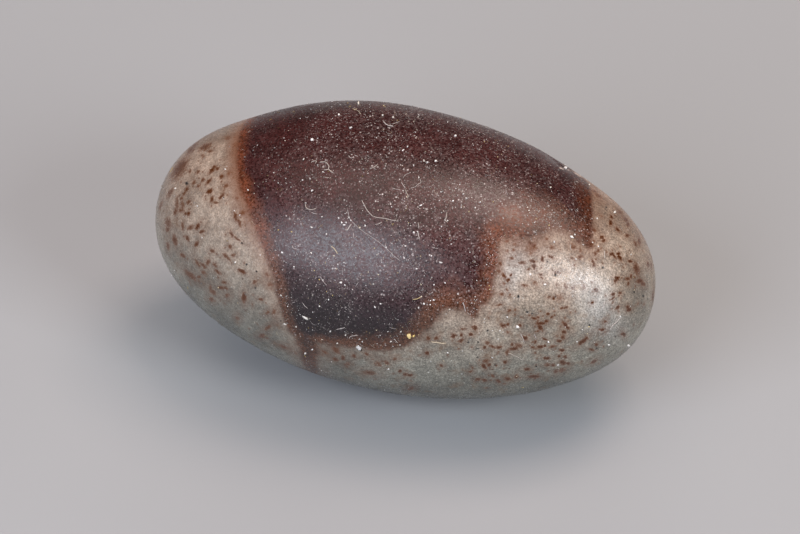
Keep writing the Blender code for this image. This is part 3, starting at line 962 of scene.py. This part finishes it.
def marked(tree, place, layers, kind, halo=0.0):
    """How strongly the marks of one kind show, with ragged edges and with a faint halo round them."""
    push = cloud(tree, place, *MARK_NOISE, "Color")
    centred = add_node(tree, "ShaderNodeVectorMath", {0: push, 1: (0.5, 0.5, 0.5)}, operation="SUBTRACT")
    inputs = {0: centred.outputs[0], 1: MARK_RAGGEDNESS}
    ragged = add_node(tree, "ShaderNodeVectorMath", inputs, operation="MULTIPLY")
    total = 0.0
    for name in (layer for layer in layers if layer.startswith(kind)):
        within = add_node(tree, "ShaderNodeAttribute", attribute_name=name).outputs["Vector"]
        inputs = {0: within, 1: ragged.outputs[0]}
        moved = add_node(tree, "ShaderNodeVectorMath", inputs, operation="ADD").outputs[0]
        length = add_node(tree, "ShaderNodeVectorMath", {0: moved}, operation="LENGTH").outputs["Value"]
        total = calc(tree, "MAXIMUM", total, ease(tree, length, MARK_RIM, MARK_HEART))
        if halo:
            total = calc(tree, "MAXIMUM", total, ease(tree, length, MARK_HALO, MARK_RIM, 0.0, halo))
    return total


# Colours of the stone besides those in its settings, as linear red, green and blue
CHALK = (0.276, 0.272, 0.260)
TAN = (0.230, 0.125, 0.074)
STAIN = (0.165, 0.092, 0.048)
STAIN_BESIDE_PATCH = (0.205, 0.088, 0.047)
DARK_SPECK = (0.080, 0.036, 0.018)
# Pale grains, partly the stone's own and partly painted glints
PALE_GRAIN_AND_GLINT = (0.80, 0.78, 0.74)
FRECKLE_HEART = (0.058, 0.014, 0.001)
# Also the colour of the painted shadow in the chip's notch
PIT_AND_NOTCH_SHADOW = (0.008, 0.007, 0.006)
LOW_RUST = (0.088, 0.033, 0.016)
DUST_FILM = (0.170, 0.115, 0.110)
DUST_SPECK = (0.60, 0.54, 0.51)
# The worn lip's colour, also used for the chip's painted glint
WORN_LIP_AND_GLINT = (0.74, 0.61, 0.53)
YELLOWED_DIRT = (0.66, 0.47, 0.12)

# Noises: size of the features in millimetres, detail, roughness, the part of the noise that counts, and
# the amounts that it is eased to
BODY_CLOUDS = (2.2, 4.0, 0.55, 0.36, 0.64, 0.80, 1.24)
BODY_MOTTLE = (0.24, 4.0, 0.65, 0.35, 0.65, 0.82, 1.18)
SUGARY_GRAIN = (0.07, 3.0, 0.7, 0.36, 0.68, 0.60, 1.62)
BODY_STAINS = (0.8, 6.0, 0.65, 0.53, 0.72, 0.0, 0.50)
SPECKLED_AREAS = (1.8, 3.0, 0.55, 0.42, 0.60, 0.15, 1.0)
RUST_UNEVEN = (0.6, 5.0, 0.6, 0.32, 0.68, 0.72, 1.25)
PATCH_UNEVEN = (1.3, 5.0, 0.6, 0.32, 0.68, 0.74, 1.26)
PATCH_GRAIN = (0.09, 3.0, 0.65, 0.34, 0.66, 0.55, 1.55)
DUST_DRIFTS = (1.6, 6.0, 0.7, 0.38, 0.64, 0.30, 1.2)
FILM_GRAIN = (0.15, 2.0, 0.65, 0.46, 0.68, 0.0, 0.40)
SCUFF_AND_GLINT_BROKEN = (0.16, 3.0, 0.65, 0.38, 0.60, 0.30, 0.95)
POLISH_WORN = (0.8, 4.0, 0.6, 0.3, 0.7, -0.05, 0.07)
POLISH_PITTED = (0.09, 2.0, 0.6, 0.34, 0.66, -0.13, 0.15)
DIRT_UNEVEN = (0.05, 3.0, 0.55, 0.3, 0.7, 0.85, 1.1)

# Noises that are used as they are: size of the features in millimetres, detail, roughness
RIM_NOISE = (0.9, 5.0, 0.6)
EDGE_NOISE = (0.45, 7.0, 0.68)
POLISH_GRAIN = (0.06, 2.0, 0.6)

# Spots: cell, smallest and largest radius in millimetres, crowding, hardness
DARK_SPECKS = (0.42, 0.070, 0.190, 0.55, 0.4)
# Pale grains, partly painted glints
PALE_GRAINS_AND_GLINTS = (0.30, 0.045, 0.080, 0.30, 0.5)
TINY_DUST = (0.16, 0.032, 0.060, 0.85, 0.6)
SMALL_DUST = (0.30, 0.050, 0.105, 0.85, 0.6)

# How the looks change over the stone: from and to in millimetres, and the amounts there, which are none and
# all where they aren't given. First by height
# The change to the upper body is partly painted warm light from the top lamp
UPPER_BODY_AND_WARM_LIGHT = (9.0, 21.0)
# Painted shade: the body darkens towards the bottom
PAINTED_SHADE_BELOW = (2.5, 11.5, 0.42, 1.0)
TANNED_LEVEL = (12.0, 17.0)
STAINED_LEVEL = (13.0, 20.0, 0.4, 1.0)
UPPER_RUST = (14.5, 21.0)
# Painted shade: the rust rim and the patch darken lower down
LOW_RUST_PAINTED_SHADE = (13.2, 16.4, 0.82, 1.0)
LOW_PATCH = (19.0, 13.5)
LOW_PATCH_PAINTED_SHADE = (13.2, 16.4, 0.60, 1.0)
FILM_LEVEL = (13.0, 19.0, 0.15, 1.0)
DUST_LEVEL = (11.5, 16.5, 0.45, 1.0)
# Then along the stone
CHALKY_RIGHT = (6.0, 12.0, 0.0, 1.6)
COARSE_RIGHT = (-12.0, 4.0, 0.55, 0.85)
STAINED_LEFT = (2.0, -12.0, 0.35, 0.85)
RUST_ON_ARM = (9.5, 12.5, 1.0, 0.6)
DRIFTS_LEFT = (-10.5, -5.0, 0.22, 1.0)
FILM_ON_ARM = (10.5, 12.5, 1.0, 0.35)
# Then towards the back, and inwards from the patch's edge
TANNED_BACK = (-1.0, 6.0, 0.0, 0.6)
STAIN_REACH = (-1.8, 0.1)

# A dusty place on the crest: its middle, the millimetres over which it fades each way, and how it fades
CREST_DUST = (-0.8, 4.6, 20.8)
CREST_FADE = (5.5, 3.4, 6.0)
CREST_AMOUNT = (1.0, 0.2, 0.0, 1.1)

WANDER = 3.0  # millimetres over which and by which the levels of the body's colours wander
PALE_GRAIN_AND_GLINT_SHARE = 0.7
TINY_DUST_SHARE = 0.9
HEART_FROM_TO = (0.62, 0.95)  # strengths of a freckle at which its heart begins to show and is full
FRECKLE_HALO = 0.22  # share of colour in the faint stain round a freckle
CORE_FROM_TO = (0.85, 1.95)  # rim widths inwards from the patch's edge
RIM_WANDER = 0.9  # rim widths
EDGE_REACH = 4.0  # millimetres by which a fully frayed edge wanders
LEAST_SOFTNESS = 0.20  # half width of the patch's edge in millimetres
FRAYED_SOFTNESS = 0.7  # what a fully frayed edge adds to it
PIT_DEPTH = 3.0  # in grain heights
REFRACTION = 1.54
OWN_SHADES = (0.30, 1.25)  # darkest and palest grain of dirt


def body_colours(tree, place, freckle, pit_and_notch_shadow, look):
    """The pale body: warm above and darker grey below, partly its own colouring and partly painted warm
    light above and painted shade below; cloudy and sugary, with stains, freckles, pits, pale grains that are
    partly painted glints, and a painted shadow in the chip's notch.
    """
    corner = add_node(tree, "ShaderNodeSeparateXYZ", {0: place})
    drift = times(tree, cloud(tree, place, WANDER), WANDER)
    level = calc(tree, "ADD", corner.outputs["Z"], drift)
    # Warm above and grey below: partly the stone's own colouring, partly painted warm light from the top
    # lamp and painted shade lower down
    colour = tint(tree, ease(tree, level, *UPPER_BODY_AND_WARM_LIGHT), look.lower_body_colour_and_shade, look.upper_body_colour_and_warm_light)
    # Pale and dark clouds, chalky towards the right end, and a tan back
    pale = field(tree, "paleness")
    chalky = times(tree, pale, ease(tree, corner.outputs["X"], *CHALKY_RIGHT))
    colour = shade(tree, tint(tree, chalky, colour, CHALK), calc(tree, "ADD", pale, 1.0))
    behind = ease(tree, corner.outputs["Y"], *TANNED_BACK)
    colour = tint(tree, times(tree, behind, ease(tree, level, *TANNED_LEVEL)), colour, TAN)
    # Cloudy, mottled and sugary, with less sugar towards the left end, and darker lower down by painted
    # shade
    coarse = ease(tree, corner.outputs["X"], *COARSE_RIGHT)
    sugary = times(tree, calc(tree, "SUBTRACT", noise_share(tree, place, SUGARY_GRAIN), 1.0), coarse)
    sugary = calc(tree, "ADD", sugary, 1.0)
    cloudy = noise_share(tree, place, BODY_CLOUDS)
    mottled = noise_share(tree, place, BODY_MOTTLE)
    painted_shade_below = ease(tree, level, *PAINTED_SHADE_BELOW)
    colour = shade(tree, colour, times(tree, cloudy, mottled, sugary, painted_shade_below))
    # Stains, specks, and pale grains that are partly the stone's own and partly painted glints
    colour = tint(tree, noise_share(tree, place, BODY_STAINS), colour, STAIN)
    specks = times(tree, spots(tree, place, *DARK_SPECKS), noise_share(tree, place, SPECKLED_AREAS))
    colour = tint(tree, specks, colour, DARK_SPECK)
    pale_grains_and_glints = times(tree, spots(tree, place, *PALE_GRAINS_AND_GLINTS), PALE_GRAIN_AND_GLINT_SHARE)
    colour = tint(tree, pale_grains_and_glints, colour, PALE_GRAIN_AND_GLINT)
    colour = tint(tree, freckle, colour, look.freckle_colour)
    hearts = times(tree, ease(tree, freckle, *HEART_FROM_TO), coarse)
    colour = tint(tree, hearts, colour, FRECKLE_HEART)
    # Pits, and the painted shadow in the chip's notch
    return tint(tree, pit_and_notch_shadow, colour, PIT_AND_NOTCH_SHADOW)


def near_crest(tree, place):
    """How dusty the crest is."""
    inputs = {0: place, 1: CREST_DUST}
    away = add_node(tree, "ShaderNodeVectorMath", inputs, operation="SUBTRACT").outputs[0]
    inputs = {0: away, 1: CREST_FADE}
    away = add_node(tree, "ShaderNodeVectorMath", inputs, operation="DIVIDE").outputs[0]
    away = add_node(tree, "ShaderNodeVectorMath", {0: away}, operation="LENGTH").outputs["Value"]
    return ease(tree, away, *CREST_AMOUNT)


def patch_colours(tree, place, inside, look):
    """The dark patch: a rust rim that turns maroon, then purple-brown lower down, where painted shade
    darkens both.
    """
    corner = add_node(tree, "ShaderNodeSeparateXYZ", {0: place})
    along, height = corner.outputs["X"], corner.outputs["Z"]
    level = calc(tree, "ADD", height, cloud(tree, place, WANDER))
    # The rust rim, darkened lower down by painted shade
    rust = tint(tree, ease(tree, level, *UPPER_RUST), LOW_RUST, look.rust_colour)
    rusty = times(
        tree,
        noise_share(tree, place, RUST_UNEVEN),
        ease(tree, level, *LOW_RUST_PAINTED_SHADE),
        ease(tree, along, *RUST_ON_ARM),
    )
    # The heart, maroon above and purple-brown below, darkened lower down by painted shade
    heart = tint(tree, ease(tree, level, *LOW_PATCH), look.patch_colour, look.patch_low_colour)
    shading = times(tree, noise_share(tree, place, PATCH_UNEVEN), ease(tree, level, *LOW_PATCH_PAINTED_SHADE))
    drift = times(tree, cloud(tree, place, *RIM_NOISE), RIM_WANDER)
    depth = calc(tree, "ADD", calc(tree, "DIVIDE", inside, field(tree, "rim_width")), drift)
    core = ease(tree, depth, *CORE_FROM_TO)
    colour = tint(tree, core, shade(tree, rust, rusty), shade(tree, heart, shading))
    colour = shade(tree, colour, noise_share(tree, place, PATCH_GRAIN))
    # A thin film of dust in drifts, then the specks in it
    drifts = times(tree, noise_share(tree, place, DUST_DRIFTS), ease(tree, along, *DRIFTS_LEFT))
    hazy = times(tree, drifts, ease(tree, height, *FILM_LEVEL), ease(tree, along, *FILM_ON_ARM))
    hazy = calc(tree, "ADD", hazy, near_crest(tree, place))
    colour = tint(tree, times(tree, noise_share(tree, place, FILM_GRAIN), hazy), colour, DUST_FILM)
    tiny = times(tree, spots(tree, place, *TINY_DUST), TINY_DUST_SHARE)
    specks = calc(tree, "MAXIMUM", tiny, spots(tree, place, *SMALL_DUST))
    return tint(tree, times(tree, specks, drifts, ease(tree, height, *DUST_LEVEL)), colour, DUST_SPECK)


def stone_material(look, layers):
    """Polished quartz, pale and freckled, with its dark patch."""
    material, tree, shader = new_material("polished_quartz")
    place = millimetres(tree)
    corner = add_node(tree, "ShaderNodeSeparateXYZ", {0: place})
    fray = field(tree, "edge_fray")
    ragged = calc(tree, "SUBTRACT", cloud(tree, place, *EDGE_NOISE), 0.5)
    inside = calc(tree, "ADD", field(tree, "patch_edge"), times(tree, ragged, EDGE_REACH, fray))
    freckle = marked(tree, place, layers, "freckles", halo=FRECKLE_HALO)
    pit_and_notch_shadow = marked(tree, place, layers, "pits_and_notch_shadow")
    body = body_colours(tree, place, freckle, pit_and_notch_shadow, look)
    beside_patch = times(
        tree,
        ease(tree, corner.outputs["Z"], *STAINED_LEVEL),
        ease(tree, corner.outputs["X"], *STAINED_LEFT),
        ease(tree, inside, *STAIN_REACH),
    )
    body = tint(tree, beside_patch, body, STAIN_BESIDE_PATCH)
    # The edge is softer where it frays more
    soft = calc(tree, "ADD", times(tree, fray, FRAYED_SOFTNESS), LEAST_SOFTNESS)
    in_patch = ease(tree, inside, times(tree, soft, -1.0), soft)
    colour = tint(tree, in_patch, body, patch_colours(tree, place, inside, look))
    # The worn lip by the chip, and the chip's painted glint
    scuff_and_glint = times(tree, marked(tree, place, layers, "scuffs"), noise_share(tree, place, SCUFF_AND_GLINT_BROKEN))
    tree.links.new(tint(tree, scuff_and_glint, colour, WORN_LIP_AND_GLINT), shader.inputs["Base Color"])
    # The polish: worn in places, finely pitted, with a low grain that breaks up the shine
    rough = calc(tree, "ADD", noise_share(tree, place, POLISH_WORN), look.roughness)
    rough = calc(tree, "ADD", rough, noise_share(tree, place, POLISH_PITTED))
    tree.links.new(rough, shader.inputs["Roughness"])
    grain = cloud(tree, place, *POLISH_GRAIN)
    surface = calc(tree, "SUBTRACT", grain, times(tree, pit_and_notch_shadow, PIT_DEPTH))
    inputs = {"Strength": 1.0, "Distance": look.grain_height, "Height": surface}
    bump = add_node(tree, "ShaderNodeBump", inputs)
    tree.links.new(bump.outputs["Normal"], shader.inputs["Normal"])
    shader.inputs["IOR"].default_value = REFRACTION
    return material


def dirt_material(name, colour, roughness):
    """Matt dust or lint, with a shade of its own for each grain or fibre."""
    material, tree, shader = new_material(name)
    own = ease(tree, field(tree, "own_shade"), 0.0, 1.0, *OWN_SHADES)
    yellowed = tint(tree, field(tree, "yellowing"), colour, YELLOWED_DIRT)
    shading = times(tree, own, noise_share(tree, millimetres(tree), DIRT_UNEVEN))
    tree.links.new(shade(tree, yellowed, shading), shader.inputs["Base Color"])
    shader.inputs["Roughness"].default_value = roughness
    return material


class LINGAM_OT_stone(bpy.types.Operator):
    """Make the polished stone in place of its plain solid"""

    bl_idname = "lingam.stone"
    bl_label = "Polished Stone"

    cells_along = 196
    cells_round = 100
    seed = 11  # of the added freckles

    def execute(self, context):
        look = context.scene.lingam_stone
        corners, quads = block_grid(self.cells_along, self.cells_round)
        # Even angles between the cells, then onto a unit sphere
        sphere = np.tan((corners * 2 - 1) * math.pi / 4)
        sphere /= np.linalg.norm(sphere, axis=1, keepdims=True)
        along = sphere[:, 0] * HALF_LENGTH
        turn = np.arctan2(-sphere[:, 1], sphere[:, 2])
        even = place_on_stone(along, turn)
        chips = [(a, d, -depth, r, r) for a, d, depth, r in CHIPS]
        lift = relief(even) * 2 * look.undulation / MM + bumps(along, turn, plain_radius(along), chips)
        points = even + outward(even) * lift[:, None]
        points[:, 2] = np.maximum(points[:, 2], 0)
        view = PhotoView(points, quads)
        freckles = view.marks(FRECKLES, FRECKLE_SIZE)
        freckles += more_freckles(view, freckles, np.random.default_rng(self.seed))
        pits_and_notch_shadow = view.marks(PITS_AND_NOTCH_SHADOW, PIT_SIZE)
        fields = {}
        for name, marks in (("freckles", freckles), ("pits_and_notch_shadow", pits_and_notch_shadow), ("scuffs", view.marks(SCUFFS_AND_GLINTS))):
            for number, values in enumerate(mark_layers(points, marks)):
                fields[f"{name}_{number}"] = values
        stone = new_mesh_object(STONE_NAME, points, quads, stone_material(look, list(fields)))
        for name, values in fields.items():
            add_places(stone, name, values)
        add_field(stone, "paleness", bumps(along, turn, plain_radius(along), CLOUDS))
        for name, values in zip(("patch_edge", "rim_width", "edge_fray"), patch_fields(along, turn, even)):
            add_field(stone, name, values)
        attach(stone, "root")
        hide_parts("stone")
        return {"FINISHED"}


def view_of_stone():
    """The photograph's view of the stone that has been made."""
    stone = bpy.data.objects.get(STONE_NAME)
    if stone is None:
        raise RuntimeError("Make the polished stone first")
    points = np.array([corner.co for corner in stone.data.vertices]) / MM
    quads = np.array([face.vertices for face in stone.data.polygons])
    return PhotoView(points, quads)


def settled(view, points):
    """The nearest places on the made stone, and its normals there."""
    found = [view.tree.find_nearest(point) for point in points]
    return np.array([place for place, _, _, _ in found]), np.array([normal for _, normal, _, _ in found])


# How much dirt has settled at each angle round from the top, in degrees: most on the front, least below
DUST_ROUND = ((-180, -60, -10, 25, 95, 130, 180), (0.1, 0.25, 0.45, 1, 1, 0.4, 0.1))
DUST_ALONG = ((-15, -7), (0.5, 1))  # less towards the left end
DRIFT_WAVES = 0.35  # per millimetre
DRIFT_MEAN = 0.45
DRIFT_CONTRAST = 1.3
DUST_IN_PATCH = (0.08, 1)  # least and most
DUST_ON_BODY = 0.07
DUST_INSIDE = 0.2  # millimetres inside the patch's edge, where the dust begins
DUST_NEAR_END = 0.99  # of the half length
# More of it lies on the crest: middle and spread in millimetres along and in degrees round, and how much
CREST_ALONG = (-0.5, 4)
CREST_ROUND = (-20, 13)
CREST_SHARE = 0.35
TRIES = 20000  # places that are tried at a time


def dusty_places(count, chance):
    """Places where dirt has settled: much on the dark patch, in drifts, and little on the body."""
    batches, found = [], 0
    while found < count:
        along = chance.uniform(-HALF_LENGTH, HALF_LENGTH, TRIES) * DUST_NEAR_END
        turn = chance.uniform(-math.pi, math.pi, TRIES)
        points = place_on_stone(along, turn)
        edge = patch_fields(along, turn, points)[0]
        drifts = DRIFT_MEAN + DRIFT_CONTRAST * rolling(points, DRIFT_WAVES)
        share = np.where(edge > DUST_INSIDE, np.clip(drifts, *DUST_IN_PATCH), DUST_ON_BODY)
        share *= np.interp(np.degrees(turn), *DUST_ROUND)
        share *= np.interp(along, *DUST_ALONG)
        (middle, spread), (round_middle, round_spread) = CREST_ALONG, CREST_ROUND
        share += CREST_SHARE * np.exp(
            -(((along - middle) / spread) ** 2) - ((np.degrees(turn) - round_middle) / round_spread) ** 2
        )
        batches.append(points[chance.random(TRIES) < share])
        found += len(batches[-1])
    return np.concatenate(batches)[:count]


def make_dirt(name, points, faces, shades, yellowing, material):
    """One joined piece of dirt that rides on the stone and stays inside its box."""
    points = np.clip(points, np.array(LOW) / MM, np.array(HIGH) / MM)
    dirt = new_mesh_object(name, points, faces, material)
    add_field(dirt, "own_shade", shades)
    add_field(dirt, "yellowing", yellowing)
    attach(dirt, "root")


class LINGAM_OT_dust(bpy.types.Operator):
    """Scatter the dust grains over the stone"""

    bl_idname = "lingam.dust"
    bl_label = "Dust Grains"

    shown_size = 0.75  # of the size that a grain seems to have in the photograph
    smallest = 0.018  # half size of a scattered grain, millimetres
    largest = 0.070
    thickness = 0.55  # of the half width
    narrowest = 0.35  # width over length
    sink = 0.25
    lumpiness = (-0.45, 0.40)
    roughness = 0.7
    seed = 23
    # The higher these powers, the fewer of the scattered grains are large, pale or yellowed
    few_large, few_pale, few_yellowed = 4, 1.8, 6

    def grain_shape(self, subdivisions):
        """Corners and triangles of a ball with a radius of one."""
        bm = bmesh.new()
        bmesh.ops.create_icosphere(bm, subdivisions=subdivisions, radius=1)
        corners = np.array([corner.co for corner in bm.verts])
        faces = np.array([[corner.index for corner in face.verts] for face in bm.faces])
        bm.free()
        return corners, faces

    def add_grains(self, shape, places, normals, long_axes, short_axes, chance):
        """Lumpy grains, flattened onto the stone and sunk into it a little."""
        corners, faces = shape
        lumps = 1 + chance.uniform(*self.lumpiness, (len(places), len(corners), 1))
        thick = np.linalg.norm(short_axes, axis=1)[:, None] * self.thickness * normals
        axes = np.stack((long_axes, short_axes, thick), 1)
        points = (corners * lumps) @ axes + (places + thick * (1 - self.sink))[:, None]
        shift = (np.arange(len(places)) * len(corners))[:, None, None]
        return points.reshape(-1, 3), (faces + shift).reshape(-1, 3)

    def execute(self, context):
        look = context.scene.lingam_dust
        chance = np.random.default_rng(self.seed)
        view = view_of_stone()
        # The first listed grain is a painted glint on the chip
        picked = [view.mark(*row[:5], self.shown_size) for row in GRAINS_AND_CHIP_GLINT]
        centres, long_axes, short_axes = (np.array(column) for column in zip(*picked))
        places, normals = settled(view, centres)
        large = self.add_grains(self.grain_shape(2), places, normals, long_axes, short_axes, chance)
        places, normals = settled(view, dusty_places(look.count, chance))
        ahead, aside = flat_axes(places, chance.uniform(0, math.pi, len(places)))
        size = chance.random((len(places), 1)) ** self.few_large
        half = self.smallest + (self.largest - self.smallest) * size
        narrow = half * chance.uniform(self.narrowest, 1, half.shape)
        small = self.add_grains(self.grain_shape(1), places, normals, ahead * half, aside * narrow, chance)
        points = np.concatenate((large[0], small[0]))
        faces = np.concatenate((large[1], small[1] + len(large[0])))
        corner_counts = (len(large[0]) // len(GRAINS_AND_CHIP_GLINT), len(small[0]) // max(len(places), 1))
        shades = np.concatenate((
            np.repeat(chance.uniform(0.5, 1, len(GRAINS_AND_CHIP_GLINT)), corner_counts[0]),
            np.repeat(chance.random(len(places)) ** self.few_pale, corner_counts[1]),
        ))
        yellowing = np.concatenate((
            np.repeat([row[5] for row in GRAINS_AND_CHIP_GLINT], corner_counts[0]),
            np.repeat(chance.random(len(places)) ** self.few_yellowed, corner_counts[1]),
        ))
        material = dirt_material("dust", look.colour, self.roughness)
        make_dirt("dust_grains_and_chip_glint", points, faces, shades, yellowing, material)
        return {"FINISHED"}


class LINGAM_OT_lint(bpy.types.Operator):
    """Lay the lint on the stone"""

    bl_idname = "lingam.lint"
    bl_label = "Lint"

    shown_size = 0.6  # of the thickness that a fibre seems to have in the photograph
    steps = 3  # points on the curve for each row of a route
    pieces = 4  # in a scattered fibre
    shortest = 0.15  # length of a scattered fibre, millimetres
    longest = 0.7
    half_thickness = (0.006, 0.014)  # of a scattered fibre, millimetres
    few_long, few_yellowed = 3, 4  # the higher these powers, the fewer
    bending = 0.35  # radians from one piece to the next
    thin_end = 0.3  # of the half thickness
    raised = 0.8  # the middle line above the stone, in half thicknesses
    roughness = 0.6
    seed = 37

    def scattered_routes(self, count, chance):
        """Short bent routes over the dusty places."""
        starts = dusty_places(count, chance)
        heading = chance.uniform(0, math.tau, count)
        bend = chance.normal(0, self.bending, count)
        length = self.shortest + (self.longest - self.shortest) * chance.random(count) ** self.few_long
        routes = [starts]
        for _ in range(self.pieces):
            ahead, _ = flat_axes(routes[-1], heading)
            routes.append(routes[-1] + ahead * (length / self.pieces)[:, None])
            heading = heading + bend
        return np.stack(routes, 1)

    def tube(self, route, normals, half):
        """A four-sided tube, half sunk at its thin ends."""
        ahead = np.gradient(route, axis=0)
        aside = np.cross(normals, ahead)
        aside /= np.linalg.norm(aside, axis=1, keepdims=True)
        taper = np.full((len(route), 1), half)
        taper[0] = taper[-1] = half * self.thin_end
        middle = route + normals * taper * self.raised
        sides = (aside * taper, normals * taper, -aside * taper, -normals * taper)
        points = np.stack([middle + side for side in sides], 1).reshape(-1, 3)
        ring = np.arange(4)
        start = (np.arange(len(route) - 1) * 4)[:, None]
        walls = np.stack((start + ring, start + (ring + 1) % 4), -1)
        walls = np.concatenate((walls, walls[..., ::-1] + 4), -1).reshape(-1, 4)
        ends = np.array((ring[::-1], ring + (len(route) - 1) * 4))
        return points, np.concatenate((walls, ends))

    def execute(self, context):
        look = context.scene.lingam_lint
        chance = np.random.default_rng(self.seed)
        view = view_of_stone()
        size = CAMERA_DISTANCE / MM * view.pixel * self.shown_size
        fibres = []
        for half, yellowing, route in FIBRES:
            curve = [view.meet(*spot)[0] for spot in smooth_curve(route, self.steps)]
            fibres.append((curve, half * size, yellowing, chance.uniform(0.6, 1)))
        for route in self.scattered_routes(look.count, chance):
            half = chance.uniform(*self.half_thickness)
            fibres.append((route, half, chance.random() ** self.few_yellowed, chance.uniform(0.1, 1)))
        points, faces, shades, yellowed = [], [], [], []
        for route, half, yellowing, own_shade in fibres:
            places, normals = settled(view, route)
            tube_points, tube_faces = self.tube(places, normals, half)
            faces.append(tube_faces + len(shades))
            points.append(tube_points)
            shades.extend([own_shade] * len(tube_points))
            yellowed.extend([yellowing] * len(tube_points))
        material = dirt_material("lint", look.colour, self.roughness)
        make_dirt("lint_fibres", np.concatenate(points), np.concatenate(faces), shades, yellowed, material)
        return {"FINISHED"}


class LINGAM_OT_stage(bpy.types.Operator):
    """Make the plain floor, the soft lamps and the camera"""

    bl_idname = "lingam.stage"
    bl_label = "Stage"

    # Name, degrees right of the camera, elevation, distance, width, height, radiance, colour
    lamps = (
        ("overhead_softbox", 112, 67, 0.60, 0.31, 0.31, 5.6, (1.0, 0.80, 0.70)),
        ("ceiling_panel", -90, 80, 0.60, 0.50, 0.50, 1.4, (1.0, 0.84, 0.76)),
        ("left_softbox", -44, 31, 0.45, 0.30, 0.32, 5.4, (0.85, 0.89, 1.0)),
        ("right_lamp", 47, 30, 0.45, 0.17, 0.17, 13.0, (0.93, 0.96, 1.0)),
        ("back_fill", 180, 24, 0.60, 0.50, 0.40, 1.6, (1.0, 0.97, 0.94)),
    )
    room_colour = (0.93, 0.96, 1.0, 1)
    room_strength = 0.05
    floor_size = 2.5
    floor_roughness = 0.6
    floor_shine = 0.25
    floor_clouds = (60.0, 2.0, 0.55, 0.2, 0.8, 0.99, 1.01)
    seen_from_to = (0.01, 20)  # metres from the camera

    def make_floor(self, scene, look):
        bm = bmesh.new()
        bmesh.ops.create_grid(bm, x_segments=8, y_segments=8, size=self.floor_size)
        mesh = bpy.data.meshes.new("floor")
        bm.to_mesh(mesh)
        bm.free()
        material, tree, shader = new_material("pale_floor")
        soft = noise_share(tree, millimetres(tree), self.floor_clouds)
        tree.links.new(shade(tree, look.floor_colour, soft), shader.inputs["Base Color"])
        shader.inputs["Roughness"].default_value = self.floor_roughness
        shader.inputs["Specular IOR Level"].default_value = self.floor_shine
        mesh.materials.append(material)
        floor = bpy.data.objects.new("floor", mesh)
        scene.collection.objects.link(floor)

    def make_lamps(self, scene, look):
        middle = Vector((0, 0, AXIS_HEIGHT * MM))
        for name, azimuth, elevation, distance, width, height, radiance, colour in self.lamps:
            data = bpy.data.lights.new(name, "AREA")
            data.shape = "RECTANGLE"
            data.size, data.size_y = width, height
            data.energy = radiance * math.pi * width * height * look.brightness
            data.color = colour
            away = direction(azimuth + CAMERA_AZIMUTH, elevation)
            lamp = bpy.data.objects.new(name, data)
            lamp.location = middle + away * distance
            lamp.rotation_euler = away.to_track_quat("Z", "Y").to_euler()
            # The fill only lifts the shade on the back, so the polish doesn't mirror it
            lamp.visible_glossy = name != "back_fill"
            scene.collection.objects.link(lamp)
        world = bpy.data.worlds.new("soft_room")
        world.use_nodes = True
        background = world.node_tree.nodes["Background"]
        background.inputs["Color"].default_value = self.room_colour
        background.inputs["Strength"].default_value = self.room_strength * look.brightness
        scene.world = world

    def make_camera(self, scene, look):
        data = bpy.data.cameras.new("camera")
        data.lens = look.focal_length
        data.sensor_width = SENSOR_WIDTH
        data.clip_start, data.clip_end = self.seen_from_to
        camera = bpy.data.objects.new("camera", data)
        camera.matrix_world = camera_matrix()
        scene.collection.objects.link(camera)
        scene.camera = camera

    def execute(self, context):
        scene = context.scene
        look = scene.lingam_stage
        self.make_floor(scene, look)
        self.make_lamps(scene, look)
        self.make_camera(scene, look)
        scene.view_settings.view_transform = "Standard"
        return {"FINISHED"}


class VIEW3D_PT_lingam(bpy.types.Panel):
    """Lists the pieces and their settings in the sidebar"""

    bl_label = "Lingam Stone"
    bl_space_type = "VIEW_3D"
    bl_region_type = "UI"
    bl_category = "Lingam"

    def draw(self, context):
        scene = context.scene
        for operator, settings in (
            (LINGAM_OT_stone, scene.lingam_stone),
            (LINGAM_OT_dust, scene.lingam_dust),
            (LINGAM_OT_lint, scene.lingam_lint),
            (LINGAM_OT_stage, scene.lingam_stage),
        ):
            box = self.layout.box()
            for name in settings.bl_rna.properties.keys():
                if name not in ("rna_type", "name"):
                    box.prop(settings, name)
            box.operator(operator.bl_idname)


CLASSES = (
    StoneSettings,
    DustSettings,
    LintSettings,
    StageSettings,
    LINGAM_OT_stone,
    LINGAM_OT_dust,
    LINGAM_OT_lint,
    LINGAM_OT_stage,
    VIEW3D_PT_lingam,
)


def register():
    for each in CLASSES:
        bpy.utils.register_class(each)
    bpy.types.Scene.lingam_stone = PointerProperty(type=StoneSettings)
    bpy.types.Scene.lingam_dust = PointerProperty(type=DustSettings)
    bpy.types.Scene.lingam_lint = PointerProperty(type=LintSettings)
    bpy.types.Scene.lingam_stage = PointerProperty(type=StageSettings)


def unregister():
    del bpy.types.Scene.lingam_stage
    del bpy.types.Scene.lingam_lint
    del bpy.types.Scene.lingam_dust
    del bpy.types.Scene.lingam_stone
    for each in reversed(CLASSES):
        bpy.utils.unregister_class(each)


def main():
    register()
    bpy.ops.lingam.stone()
    bpy.ops.lingam.dust()
    bpy.ops.lingam.lint()
    bpy.ops.lingam.stage()


if __name__ == "__main__":
    main()
